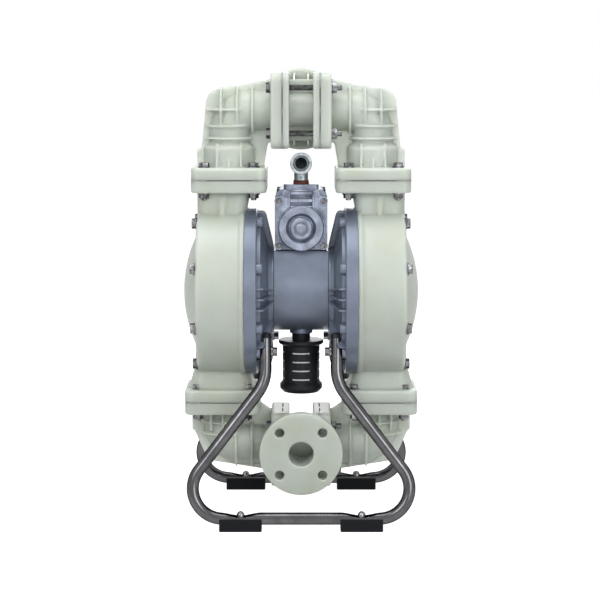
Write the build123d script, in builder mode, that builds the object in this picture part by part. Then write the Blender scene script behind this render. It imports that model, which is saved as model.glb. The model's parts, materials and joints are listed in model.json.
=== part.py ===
from build123d import *
from math import asin, cos, degrees, radians, sin, sqrt
import os

# Air operated double diaphragm pump. X runs along the centre rod, -Y is the side with the
# suction flange and the reset button, Z is up. The origin is on the floor, under the middle.
# All lengths are in millimetres, all angles in degrees.

# Pump axis and the barrel in the middle
axis_height = 450.0
barrel_half = 54.0
barrel_radius = 80.0
seat_rise = 85.0
seat_half_depth = 50.0
chamber_gasket = 1.0

# White liquid chambers. The clamp land holds the diaphragm's rim and the bolts around the cavity
cavity_radius = 138.0
clamp_land = 27.0
drum_depth = 95.0
drum_edge_radius = 6.0
dome_radius = 120.0
dome_rise = 29.0
chamber_wall = 12.0
neck_half_depth = 50.0

# Grey air chambers
air_chamber_depth = 57.0
rim_step = 3.0
rim_thickness = 25.0
hub_radius = 88.0
hub_plate = 9.0
rib_thickness = 4.0
rib_setback = 7.0

# Fasteners
m12 = 6.0
m10 = 5.0
m8 = 4.0
hole_play = 0.5
head_ratio = 1.73
head_height_ratio = 1.25
socket_ratio = 1.55
chamber_bolt_setback = 14.0
chamber_bolt_count = 8

# Square flanges between necks and manifolds
plate_width = 150.0
plate_corner = 17.0
plate_bevel = 3.0
neck_plate = 25.0
elbow_plate = 22.7
tee_plate = 13.5
slit_width = 92.0
slit_height = 2.4
slit_depth = 8.0
slit_bridge = 12.0
joint_bolt_spacing = 98.0
tie_bolt_spacing = 90.0

# Manifolds
pipe_radius = 33.0
port_radius = 25.0
bend_radius = 40.0
web_thickness = 7.0
manifold_rib = 4.0
manifold_rib_radius = 47.0
upper_neck_x = 143.0
lower_neck_x = 158.0
upper_seam_rise = 226.0
lower_seam_drop = 218.0
discharge_rise = 137.0
suction_drop = 97.0
tee_half = 37.25
discharge_reach = 105.0
suction_reach = 110.0
pipe_flange_radius = 82.5
pipe_flange_thickness = 20.0
pipe_flange_pcd = 120.65
pipe_flange_hole = 9.5

# Webs and ribs of the manifolds. Insets are from the rims of the square plates, crowns and
# rib places are from the neck's axis and the level of the run
web_foot_inset = 6.0
web_inner_drop = 67.0
discharge_shoulder = 60.0
discharge_shoulder_inset = 10.0
discharge_step_inset = 19.0
discharge_crown = (44.5, 40.0)
discharge_rim_inset = 13.5
discharge_rib_places = (14.0, -18.0, -48.0)
suction_shoulder = 67.0
suction_shoulder_inset = 11.0
suction_step_inset = 16.0
suction_crown = (32.0, 34.0)
suction_rim_inset = 20.0
suction_rib_places = (-28.0, -60.0)
gusset_places = (-24.0, 0.0, 24.0)

# Ball valves
ball_radius = 32.5
ball_lift = 12.0
ball_gap = 0.5
seat_ring_radius = 46.0
seat_ring_height = 10.0
seat_mouth = 30.0
seat_contact = 26.0
cage_radius = 42.0
cage_wall = 8.0
guide_gap = 0.8
guide_width = 8.0
stop_radius = 17.0
stop_height = 8.0
seal_ring_radius = 52.0
seal_ring_width = 3.4
tee_seal_radius = 36.0

# Rod, discs and diaphragms
rod_radius = 14.0
stud_radius = 8.0
running_play = 0.05
half_stroke = 20.0
inner_disc_x = 120.0
inner_disc_radius = 72.0
disc_thickness = 10.0
outer_disc_radius = 75.0
outer_disc_thickness = 17.0
diaphragm_thickness = 4.0
diaphragm_rim = 8.0
bushing_radius = 18.0
bushing_length = 20.0
rod_seal_length = 7.0
pilot_radius = 4.0
pilot_drop = 36.0
pilot_ratio = 0.25
stop_play = 0.3
hub_bolt_circle = 60.0
hub_bolt_grip = 20.0

# Air valve
valve_gasket = 1.5
valve_half_width = 50.0
valve_half_depth = 47.0
valve_height = 120.5
valve_cap_width = 70.0
valve_cap_rise = 9.6
spool_rise = 45.0
spool_radius = 12.0
spool_half = 30.0
spool_travel = 8.0
sleeve_radius = 20.0
air_port = 5.0
air_port_x = 14.0
air_port_y = 24.0
cover_width = 104.0
cover_height = 105.5
cover_thickness = 19.0
cap_ring_radius = 44.0
cap_ring_rise = 6.0
cap_groove_radius = 28.5
cap_boss_radius = 21.0
button_radius = 10.8
button_play = 0.3
button_travel = 5.0
spring_turns = 3
spring_wire = 0.9
cover_screw_x = 44.0
cover_screw_z = 44.0
cover_screw = 3.5
cover_screw_grip = 12.0
valve_bolt_x = 42.5
valve_bolt_y = 29.0
valve_bolt_grip = 20.0
spool_seal = 1.5
spool_seal_pitch = 18.0

# Air inlet and muffler
inlet_y = -10.0
inlet_radius = 14.0
inlet_bore = 15.15
inlet_band = 21.75
inlet_mouth_y = -45.0
inlet_rise = 41.5
inlet_depth = 11.0
inlet_socket = 14.0
sealant_height = 7.5
muffler_boss_radius = 23.0
muffler_boss_drop = 86.0
muffler_stub = 14.0
muffler_neck = 18.25
muffler_cap_radius = 45.3
muffler_body_radius = 37.5
muffler_flare_radius = 42.8
muffler_length = 120.0
muffler_wall = 5.0
muffler_thread = 13.0
slot_rows = 4
slot_pitch = 17.8
slot_size = (35.0, 3.5)

# Stand
tube_radius = 12.0
tube_wall = 2.0
tube_flat = 1.2
upright_x = 70.0
upright_bend = 80.0
corner_bend = 59.0
upright_length = 86.5
upright_end = 25.6
foot_corner_x = 271.8
foot_y = 183.4
tube_height = 23.0
lug_angle = 134.0
lug_inset = 12.4
lug_radius = 13.0
stand_bolt_grip = 20.0
pad_x = 118.3
pad_size = (83.0, 36.0, 24.0)

# Places worked out from the sizes above
hub_x = barrel_half + chamber_gasket
joint_x = hub_x + air_chamber_depth
rim_back_x = joint_x - rim_thickness
drum_radius = cavity_radius + clamp_land
rim_radius = drum_radius + rim_step
rib_outer_radius = rim_radius - rib_setback
chamber_bolt_circle = cavity_radius + chamber_bolt_setback
diaphragm_rim_radius = cavity_radius + diaphragm_rim
lug_circle = rim_radius - lug_inset
shoulder_x = joint_x + drum_depth
apex_x = shoulder_x + dome_rise
dome_sphere = (dome_radius**2 + dome_rise**2) / (2 * dome_rise)
seat_z = axis_height + seat_rise
upper_seam_z = axis_height + upper_seam_rise
lower_seam_z = axis_height - lower_seam_drop
discharge_z = upper_seam_z + discharge_rise
suction_z = lower_seam_z - suction_drop
bolt_angle = 180.0 / chamber_bolt_count
diaphragm_x = inner_disc_x + disc_thickness
disc_x = diaphragm_x + diaphragm_thickness
pilot_half = inner_disc_x - (1 - pilot_ratio) * half_stroke - stop_play
valve_z = seat_z + valve_gasket
spool_z = valve_z + spool_rise
valve_top_z = valve_z + valve_height
valve_cap_z = valve_top_z + valve_cap_rise
inlet_z = valve_cap_z + inlet_rise
cover_back_y = -valve_half_depth
cover_face_y = cover_back_y - cover_thickness
muffler_z = axis_height - muffler_boss_drop
cover_low_z = valve_z + 2
inlet_floor_z = valve_cap_z - inlet_depth
spool_seal_places = [i * spool_seal_pitch for i in (-1, 0, 1)]
valve_bolt_spots = [(x, y) for x in (-valve_bolt_x, valve_bolt_x) for y in (-valve_bolt_y, valve_bolt_y)]
lug_y = lug_circle * sin(radians(lug_angle))
lug_z = axis_height + lug_circle * cos(radians(lug_angle))
lug_face_x = upright_x + tube_radius - tube_flat
lean = Vector(0, foot_y - lug_y, lug_z - tube_height)
stand_plane = Plane((0, -foot_y, tube_height), x_dir=(1, 0, 0),
                    z_dir=Vector(1, 0, 0).cross(lean.normalized()))
tube_top = lean.length + upright_end
bend_height = tube_top - upright_length

# Ball seat geometry: the ball meets the cone of the seat on the circle seat_contact
contact_sin = seat_contact / ball_radius
contact_cos = sqrt(1 - contact_sin**2)
cone_slope = contact_sin / contact_cos
contact_depth = (seat_mouth - seat_contact) * cone_slope
ball_rise = ball_radius * contact_cos + ball_gap - contact_depth
stop_rise = ball_rise + ball_lift + sqrt(ball_radius**2 - stop_radius**2) + stop_play
cage_top = stop_rise + stop_height

rod_axis = Axis((0, 0, axis_height), (1, 0, 0))
side_profile = Plane((0, 0, axis_height), x_dir=(1, 0, 0), z_dir=(0, -1, 0))
port_spots = [(-air_port_x, -air_port_y), (0, 0), (air_port_x, air_port_y)]

os.makedirs("parts", exist_ok=True)


def finish(piece, name):
    """Label a finished piece and write its STEP file."""
    piece.part.label = name
    export_step(piece.part, f"parts/{name}.step")


def bar(plane, spots, radius, length, mode=Mode.ADD):
    """Add or cut round bars that stand on a plane, one at each spot."""
    with BuildSketch(plane) as section:
        with Locations(*spots):
            Circle(radius)
    extrude(section.sketch, amount=length, mode=mode)


def tube(plane, spots, outer, inner, length, mode=Mode.ADD):
    """Add or cut rings that stand on a plane, one at each spot."""
    with BuildSketch(plane) as section:
        with Locations(*spots):
            Circle(outer)
            Circle(inner, mode=Mode.SUBTRACT)
    extrude(section.sketch, amount=length, mode=mode)


def hexagon(plane, spots, radius, length, bore=0.0):
    """Add hexagon heads or nuts for a shank of the given radius."""
    with BuildSketch(plane) as section:
        with Locations(*spots):
            RegularPolygon(radius * head_ratio, 6)
            if bore:
                Circle(bore, mode=Mode.SUBTRACT)
    extrude(section.sketch, amount=length)


def turned(points, plane, axis):
    """Revolve an outline of straight edges."""
    with BuildSketch(plane) as section:
        with BuildLine():
            Polyline(*points, close=True)
        make_face()
    revolve(section.sketch, axis=axis)


def square_spots(spacing, centre=(0.0, 0.0)):
    """Corners of a square pattern about a centre."""
    half = spacing / 2
    return [(centre[0] + i * half, centre[1] + j * half) for i in (-1, 1) for j in (-1, 1)]


def circle_spots(radius, angles, centre=(0.0, 0.0)):
    """Points on a circle, angles from the second axis of the plane towards the first."""
    return [
        (centre[0] + radius * sin(radians(a)), centre[1] + radius * cos(radians(a)))
        for a in angles
    ]


bolt_angles = [bolt_angle + i * 360 / chamber_bolt_count for i in range(chamber_bolt_count)]
chamber_bolt_spots = circle_spots(chamber_bolt_circle, bolt_angles, (0, axis_height))
hub_bolt_spots = circle_spots(hub_bolt_circle, (45, 135, 225, 315), (0, axis_height))
lug_spots = [(-lug_y, lug_z), (lug_y, lug_z)]
pilot_spot = (0, axis_height - pilot_drop)
passage_z = axis_height + barrel_radius * 0.56
nut_room = m12 * head_ratio + 2
nut_reach = 2.5 * m12


def joint_plate(thickness, bolt_spacing, bridge=0.0):
    """Square flange plate. Its seam face is on XY and it grows along +Z."""
    with BuildPart() as plate:
        with BuildSketch():
            RectangleRounded(plate_width, plate_width, plate_corner)
        extrude(amount=thickness)
        rims = plate.faces().sort_by(Axis.Z)
        chamfer(rims[0].edges() + rims[-1].edges(), plate_bevel)
        with BuildSketch():
            with PolarLocations(plate_width / 2, 4):
                Rectangle(2 * slit_depth, slit_width)
                if bridge:
                    Rectangle(2 * slit_depth, bridge, mode=Mode.SUBTRACT)
        extrude(amount=slit_height / 2, mode=Mode.SUBTRACT)
        bar(Plane.XY, square_spots(bolt_spacing), m12 + hole_play, thickness, Mode.SUBTRACT)
    return plate.part


def ball_cage(throat_radius, throat_height):
    """Space around a ball above its seat, with four guides that end in stops over the ball."""
    guide_start = ball_radius + guide_gap
    reach = cage_radius + 1
    with BuildPart() as cage:
        bar(Plane.XY, [(0, 0)], cage_radius, cage_top)
        with BuildSketch():
            with PolarLocations((guide_start + reach) / 2, 4, start_angle=45):
                Rectangle(reach - guide_start, guide_width)
        extrude(amount=cage_top, mode=Mode.SUBTRACT)
        with BuildSketch(Plane.XY.offset(stop_rise)):
            with PolarLocations((stop_radius + reach) / 2, 4, start_angle=45):
                Rectangle(reach - stop_radius, guide_width)
        extrude(amount=stop_height, mode=Mode.SUBTRACT)
        with BuildSketch(Plane.XY.offset(cage_top)):
            Circle(cage_radius)
        with BuildSketch(Plane.XY.offset(cage_top + throat_height)):
            Circle(throat_radius)
        loft()
    return cage.part


upper_cage_throat = cage_radius - port_radius
discharge_cage = ball_cage(port_radius, upper_cage_throat)
suction_cage = ball_cage(cage_radius, chamber_wall)


# Liquid chambers
neck_flange = joint_plate(neck_plate, joint_bolt_spacing)
neck_root_x = joint_x + drum_depth / 2
with BuildPart() as right_liquid_chamber:
    with BuildSketch(side_profile):
        with BuildLine():
            arc = CenterArc((apex_x - dome_sphere, 0), dome_sphere, 0,
                            degrees(asin(dome_radius / dome_sphere)))
            Polyline(arc @ 1, (shoulder_x, drum_radius), (joint_x + 8, drum_radius),
                     (joint_x + 8, rim_radius), (joint_x, rim_radius), (joint_x, 0), arc @ 0)
        make_face()
    revolve(axis=rod_axis)
    rounded = edges().filter_by(GeomType.CIRCLE).sort_by(SortBy.RADIUS)
    fillet([e for e in rounded if abs(e.radius - drum_radius) < 0.1 and e.center().X > joint_x + 9],
           drum_edge_radius)
    # Upper neck leans inwards to its flange, the lower one flares out to it
    with BuildSketch(Plane.XY.offset(upper_seam_z - neck_plate)):
        with Locations(((upper_neck_x - 42 + shoulder_x) / 2, 0)):
            RectangleRounded(shoulder_x - upper_neck_x + 42, 2 * neck_half_depth + 4, 24)
    with BuildSketch(Plane.XY.offset(axis_height + drum_radius - 45)):
        with Locations(((joint_x + 6 + shoulder_x) / 2, 0)):
            RectangleRounded(shoulder_x - joint_x - 6, 2 * neck_half_depth, 24)
    loft()
    with BuildSketch(Plane.XY.offset(axis_height - drum_radius + 45)):
        with Locations((neck_root_x + 2, 0)):
            RectangleRounded(drum_depth - 6, 2 * neck_half_depth, 24)
    with BuildSketch(Plane.XY.offset(lower_seam_z + neck_plate)):
        with Locations((lower_neck_x + 2, 0)):
            RectangleRounded(plate_width - 18, 2 * neck_half_depth + 18, 24)
    loft()
    # Buttress ribs between the necks and the drum, front and rear
    for top, sign in ((upper_seam_z - neck_plate, 1), (lower_seam_z + neck_plate, -1)):
        drum_y = drum_radius * 0.7
        drum_z = axis_height + sign * (sqrt(drum_radius**2 - drum_y**2) - 2)
        with BuildSketch(Plane.YZ.offset(neck_root_x - 8)):
            with BuildLine():
                Polyline((0, top), (neck_half_depth + 2, top),
                         (neck_half_depth + 6, axis_height + sign * drum_radius * 0.95),
                         (drum_y, drum_z), (0, drum_z), close=True)
            make_face()
            mirror(about=Plane.YZ)
        extrude(amount=10)
    add(neck_flange.moved(Location((upper_neck_x, 0, upper_seam_z), (180, 0, 0))))
    add(neck_flange.moved(Location((lower_neck_x, 0, lower_seam_z))))
    tube(Plane.YZ.offset(joint_x), [(0, axis_height)], rim_radius + hole_play, drum_radius / 2,
         -air_chamber_depth, Mode.SUBTRACT)
    # Inside: the liquid space, the way up to the discharge seat and the suction ball's cage
    with BuildSketch(side_profile):
        inner_sphere = dome_sphere - chamber_wall
        step = shoulder_x - chamber_wall
        with BuildLine():
            bowl = CenterArc((apex_x - dome_sphere, 0), inner_sphere, 0,
                             degrees(asin((dome_radius - 8) / inner_sphere)))
            Polyline(bowl @ 1, (step - 6, cavity_radius), (joint_x, cavity_radius),
                     (joint_x, 0), bowl @ 0)
        make_face()
    revolve(axis=rod_axis, mode=Mode.SUBTRACT)
    with BuildSketch(Plane.XY.offset(axis_height + cavity_radius - 30)):
        with Locations((neck_root_x, 0)):
            Circle(port_radius)
    with BuildSketch(Plane.XY.offset(upper_seam_z - seat_ring_height)):
        with Locations((upper_neck_x, 0)):
            Circle(port_radius)
    loft(mode=Mode.SUBTRACT)
    bar(Plane.XY.offset(upper_seam_z - seat_ring_height), [(upper_neck_x, 0)],
        seat_ring_radius + running_play, seat_ring_height, Mode.SUBTRACT)
    add(suction_cage.moved(Location((lower_neck_x, 0, lower_seam_z))), mode=Mode.SUBTRACT)
    tube(Plane.XY.offset(upper_seam_z), [(upper_neck_x, 0)], seal_ring_radius,
         seal_ring_radius - seal_ring_width, -seal_ring_width, Mode.SUBTRACT)
    bar(Plane.YZ.offset(joint_x), chamber_bolt_spots, m12 + hole_play, drum_depth, Mode.SUBTRACT)
    bar(Plane.XY.offset(upper_seam_z - neck_plate),
        square_spots(joint_bolt_spacing, (upper_neck_x, 0)), nut_room, -nut_reach, Mode.SUBTRACT)
    bar(Plane.XY.offset(lower_seam_z + neck_plate),
        square_spots(joint_bolt_spacing, (lower_neck_x, 0)), nut_room, nut_reach, Mode.SUBTRACT)
finish(right_liquid_chamber, "right_liquid_chamber")

with BuildPart() as left_liquid_chamber:
    mirror(right_liquid_chamber.part, about=Plane.YZ)
finish(left_liquid_chamber, "left_liquid_chamber")


# Air chambers: a ribbed bowl with a thick rim, a flat hub plate and two stand lugs
rib_back_x = rim_back_x - 9
side_angles = [a + s for a in bolt_angles for s in (-15, 15)]
rib_angles = side_angles + [a + bolt_angle for a in bolt_angles]
lug_zones = (lug_angle, 360 - lug_angle)
open_angles = [a for a in rib_angles if min(abs(a - zone) for zone in lug_zones) > 10]
hub_face = Plane.YZ.offset(hub_x)
with BuildPart() as radial_rib:
    with BuildSketch(side_profile):
        with BuildLine():
            Polyline((hub_x, hub_radius - 20), (hub_x, hub_radius - 2),
                     (rib_back_x, rib_outer_radius - 6), (rib_back_x + 5, rib_outer_radius),
                     (rim_back_x + 2, rib_outer_radius), (rim_back_x + 2, diaphragm_rim_radius),
                     (hub_x + hub_plate, hub_radius - 20), close=True)
        make_face()
    extrude(amount=rib_thickness / 2, both=True)
with BuildPart() as right_air_chamber:
    turned([(hub_x, 0), (hub_x, hub_radius), (hub_x + 4, hub_radius),
            (rim_back_x, cavity_radius + 11), (rim_back_x, rim_radius - 2),
            (rim_back_x + 2, rim_radius), (joint_x, rim_radius), (joint_x, 0)],
           side_profile, rod_axis)
    for angle in open_angles:
        add(radial_rib.part.rotate(rod_axis, angle))
    bar(Plane.YZ.offset(rim_back_x - 12), chamber_bolt_spots, m12 * 1.85, 14)
    bar(Plane.YZ.offset(lug_face_x), lug_spots, lug_radius, rim_back_x - lug_face_x + 2)
    with BuildSketch(side_profile):
        with BuildLine():
            Polyline((hub_x + hub_plate, 0), (hub_x + hub_plate, hub_radius - 16),
                     (hub_x + hub_plate + 4, hub_radius - 7),
                     (joint_x - diaphragm_thickness - 9, cavity_radius - 2),
                     (joint_x - diaphragm_thickness, cavity_radius),
                     (joint_x - diaphragm_thickness, diaphragm_rim_radius),
                     (joint_x, diaphragm_rim_radius), (joint_x, 0), close=True)
        make_face()
    revolve(axis=rod_axis, mode=Mode.SUBTRACT)
    with BuildSketch(stand_plane) as upright_room:
        with Locations((lug_face_x / 2, tube_top)):
            Rectangle(lug_face_x, 2 * (upright_end + lug_radius))
    extrude(upright_room.sketch, amount=tube_radius + 1, both=True, mode=Mode.SUBTRACT)
    extrude(upright_room.sketch.mirror(Plane.XZ), amount=tube_radius + 1, both=True,
            mode=Mode.SUBTRACT)
    bar(hub_face, [(0, axis_height)], rod_radius + 1, hub_plate, Mode.SUBTRACT)
    bar(hub_face, [pilot_spot], pilot_radius + hole_play, hub_plate, Mode.SUBTRACT)
    bar(hub_face, [(air_port_y, passage_z)], air_port, hub_plate, Mode.SUBTRACT)
    bar(hub_face, hub_bolt_spots, m8 + hole_play, hub_plate, Mode.SUBTRACT)
    bar(Plane.YZ.offset(rim_back_x - 12), chamber_bolt_spots, m12 + running_play,
        rim_thickness + 12, Mode.SUBTRACT)
    bar(Plane.YZ.offset(lug_face_x), lug_spots, m10 + running_play, stand_bolt_grip,
        Mode.SUBTRACT)
finish(right_air_chamber, "right_air_chamber")

with BuildPart() as left_air_chamber:
    add(right_air_chamber.part.rotate(Axis.Z, 180))
finish(left_air_chamber, "left_air_chamber")

with BuildPart() as right_gasket:
    tube(Plane.YZ.offset(barrel_half), [(0, axis_height)], barrel_radius, rod_radius + 1,
         chamber_gasket)
    bar(Plane.YZ.offset(barrel_half), [pilot_spot], pilot_radius + hole_play, chamber_gasket,
        Mode.SUBTRACT)
    bar(Plane.YZ.offset(barrel_half), [(air_port_y, passage_z)], air_port, chamber_gasket,
        Mode.SUBTRACT)
    bar(Plane.YZ.offset(barrel_half), hub_bolt_spots, m8 + hole_play, chamber_gasket,
        Mode.SUBTRACT)
with BuildPart() as chamber_gaskets:
    add(right_gasket.part)
    add(right_gasket.part.rotate(Axis.Z, 180))
finish(chamber_gaskets, "chamber_gaskets")


# Centre body: the barrel, the valve seat on top and the muffler boss below, with the rod
# bore, the pilot bore, an air passage to each side and the exhaust passage to the muffler
exhaust_y = seat_half_depth - 12
exhaust_top_z = axis_height + rod_radius + bushing_radius / 2 + air_port
exhaust_low_z = pilot_spot[1] - pilot_radius - 3 * air_port
with BuildPart() as centre_body:
    with BuildSketch(Plane.YZ.offset(-barrel_half)):
        with Locations((0, axis_height)):
            Circle(barrel_radius)
        with Locations((0, (axis_height + seat_z) / 2)):
            Rectangle(2 * seat_half_depth, seat_rise)
    extrude(amount=2 * barrel_half)
    bar(Plane.XY.offset(muffler_z), [(0, 0)], muffler_boss_radius, barrel_radius / 2)
    bar(Plane.YZ.offset(-barrel_half), [(0, axis_height)], rod_radius + hole_play,
        2 * barrel_half, Mode.SUBTRACT)
    for start in (-barrel_half, barrel_half - bushing_length - rod_seal_length):
        bar(Plane.YZ.offset(start), [(0, axis_height)], bushing_radius,
            bushing_length + rod_seal_length, Mode.SUBTRACT)
    bar(Plane.YZ.offset(-barrel_half), [pilot_spot], pilot_radius + running_play,
        2 * barrel_half, Mode.SUBTRACT)
    bar(Plane.XY.offset(passage_z), [port_spots[0], port_spots[2]], air_port,
        seat_z - passage_z, Mode.SUBTRACT)
    bar(Plane.YZ.offset(-barrel_half), [(-air_port_y, passage_z)], air_port,
        barrel_half - air_port_x, Mode.SUBTRACT)
    bar(Plane.YZ.offset(air_port_x), [(air_port_y, passage_z)], air_port,
        barrel_half - air_port_x, Mode.SUBTRACT)
    bar(Plane.XY.offset(exhaust_top_z), [(0, 0)], air_port, seat_z - exhaust_top_z,
        Mode.SUBTRACT)
    for level in (exhaust_top_z, exhaust_low_z):
        bar(Plane.XZ, [(0, level)], air_port, -exhaust_y, Mode.SUBTRACT)
    bar(Plane.XY.offset(exhaust_low_z), [(0, exhaust_y)], air_port,
        exhaust_top_z - exhaust_low_z, Mode.SUBTRACT)
    bar(Plane.XY.offset(muffler_z), [(0, 0)], air_port, exhaust_low_z - muffler_z,
        Mode.SUBTRACT)
    bar(Plane.XY.offset(muffler_z), [(0, 0)], muffler_stub + running_play, muffler_thread,
        Mode.SUBTRACT)
    bar(Plane.XY.offset(seat_z), valve_bolt_spots, m8 - running_play, -valve_bolt_grip,
        Mode.SUBTRACT)
    for side in (-1, 1):
        bar(Plane.YZ.offset(side * barrel_half), hub_bolt_spots, m8 + running_play,
            -side * hub_bolt_grip, Mode.SUBTRACT)
finish(centre_body, "centre_body")


# Rod, bushings, seals, discs and diaphragms
with BuildPart() as rod_bushings:
    for start in (-barrel_half, barrel_half - bushing_length):
        tube(Plane.YZ.offset(start), [(0, axis_height)], bushing_radius,
             rod_radius + running_play, bushing_length)
finish(rod_bushings, "rod_bushings")

with BuildPart() as rod_seals:
    for start in (bushing_length - barrel_half,
                  barrel_half - bushing_length - rod_seal_length):
        tube(Plane.YZ.offset(start), [(0, axis_height)], bushing_radius,
             rod_radius + running_play, rod_seal_length)
finish(rod_seals, "rod_seals")

stud_end = disc_x + outer_disc_thickness * 0.6
with BuildPart() as centre_rod:
    turned([(-stud_end, 0), (-stud_end, stud_radius), (-inner_disc_x, stud_radius),
            (-inner_disc_x, rod_radius), (inner_disc_x, rod_radius), (inner_disc_x, stud_radius),
            (stud_end, stud_radius), (stud_end, 0)], side_profile, rod_axis)
finish(centre_rod, "centre_rod")

with BuildPart() as pilot_rod:
    with BuildSketch(Plane.YZ.offset(-pilot_half)):
        with Locations(pilot_spot):
            Circle(pilot_radius)
    extrude(amount=2 * pilot_half)
    chamfer(pilot_rod.edges().filter_by(GeomType.CIRCLE), pilot_radius / 5)
finish(pilot_rod, "pilot_rod")

stud_hole = stud_radius + running_play
with BuildPart() as right_inner_disc:
    turned([(inner_disc_x, stud_hole), (inner_disc_x, inner_disc_radius - 6),
            (inner_disc_x + 6, inner_disc_radius), (diaphragm_x, inner_disc_radius),
            (diaphragm_x, stud_hole)], side_profile, rod_axis)
finish(right_inner_disc, "right_inner_disc")

with BuildPart() as right_outer_disc:
    turned([(disc_x, stud_hole), (disc_x, outer_disc_radius), (disc_x + 5, outer_disc_radius),
            (disc_x + outer_disc_thickness, outer_disc_radius * 0.4),
            (disc_x + outer_disc_thickness, 0), (stud_end, 0), (stud_end, stud_hole)],
           side_profile, rod_axis)
finish(right_outer_disc, "right_outer_disc")

rim_x = joint_x - diaphragm_thickness
roll_radius = max(inner_disc_radius, outer_disc_radius)
with BuildPart() as right_diaphragm:
    with BuildSketch(side_profile):
        with BuildLine():
            FilletPolyline((diaphragm_x, stud_hole), (disc_x, stud_hole), (disc_x, roll_radius + 4),
                           (joint_x, cavity_radius - 1), (joint_x, diaphragm_rim_radius),
                           (rim_x, diaphragm_rim_radius), (rim_x, cavity_radius - 4),
                           (diaphragm_x, roll_radius),
                           radius=[0, 0, 6, 0, 0, 0, 0, 6], close=True)
        make_face()
    revolve(axis=rod_axis)
finish(right_diaphragm, "right_diaphragm")

for name, twin in (("inner_disc", right_inner_disc), ("outer_disc", right_outer_disc),
                   ("diaphragm", right_diaphragm)):
    with BuildPart() as left_twin:
        add(twin.part.rotate(Axis.Z, 180))
    finish(left_twin, f"left_{name}")


# Air valve on the seat of the centre body
corner_spots = [(x, z) for x in (-cover_screw_x, cover_screw_x)
                for z in (cover_low_z + 9, cover_low_z + 9 + 2 * cover_screw_z)]
with BuildPart() as air_valve_gasket:
    with BuildSketch(Plane.XY.offset(seat_z)):
        RectangleRounded(2 * valve_half_width, 2 * valve_half_depth, 6)
        with Locations(*port_spots):
            Circle(air_port, mode=Mode.SUBTRACT)
        with Locations(*valve_bolt_spots):
            Circle(m8 + hole_play, mode=Mode.SUBTRACT)
    extrude(amount=valve_gasket)
finish(air_valve_gasket, "air_valve_gasket")

with BuildPart() as air_valve_body:
    with BuildSketch(Plane.XY.offset(valve_z)):
        Rectangle(2 * valve_half_width, 2 * valve_half_depth)
    extrude(amount=valve_height)
    chamfer(edges().filter_by(Axis.Y).group_by(Axis.Z)[-1], 7)
    with BuildSketch(Plane.XY.offset(valve_top_z - 10)):
        RectangleRounded(valve_cap_width, 1.5 * valve_half_depth, 8)
    extrude(amount=valve_cap_rise + 10)
    bar(Plane.XZ.offset(-valve_half_depth), [(0, spool_z)], sleeve_radius,
        2 * valve_half_depth, Mode.SUBTRACT)
    bar(Plane.XY.offset(valve_z), port_spots, air_port, spool_rise, Mode.SUBTRACT)
    bar(Plane.XY.offset(spool_z), [(0, inlet_y)], air_port, inlet_floor_z - spool_z,
        Mode.SUBTRACT)
    bar(Plane.XY.offset(inlet_floor_z), [(0, inlet_y)], inlet_radius + running_play,
        inlet_depth, Mode.SUBTRACT)
    bar(Plane.XY.offset(valve_z), valve_bolt_spots, m8 + hole_play, valve_height,
        Mode.SUBTRACT)
    for side in (-1, 1):
        bar(Plane.XZ.offset(side * valve_half_depth), corner_spots, cover_screw + running_play,
            -side * cover_screw_grip, Mode.SUBTRACT)
finish(air_valve_body, "air_valve_body")

with BuildPart() as valve_sleeve:
    tube(Plane.XZ.offset(-valve_half_depth), [(0, spool_z)], sleeve_radius,
         spool_radius + running_play, 2 * valve_half_depth)
    bar(Plane.XY.offset(spool_z - sleeve_radius), port_spots, air_port, sleeve_radius,
        Mode.SUBTRACT)
    bar(Plane.XY.offset(spool_z), [(0, inlet_y)], air_port, sleeve_radius, Mode.SUBTRACT)
finish(valve_sleeve, "valve_sleeve")

with BuildPart() as valve_spool:
    spool_profile = Plane((0, 0, spool_z), x_dir=(0, 1, 0), z_dir=(1, 0, 0))
    groove = spool_radius * 0.8
    outline = [(-spool_half, 0), (-spool_half, spool_radius)]
    for centre in spool_seal_places:
        outline += [(centre - spool_seal, spool_radius), (centre - spool_seal, groove),
                    (centre + spool_seal, groove), (centre + spool_seal, spool_radius)]
    turned(outline + [(spool_half, spool_radius), (spool_half, 0)], spool_profile,
           Axis((0, 0, spool_z), (0, 1, 0)))
finish(valve_spool, "valve_spool")

with BuildPart() as spool_seals:
    for centre in spool_seal_places:
        tube(Plane.XZ.offset(-centre - spool_seal), [(0, spool_z)], spool_radius, groove,
             2 * spool_seal)
finish(spool_seals, "spool_seals")

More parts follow.
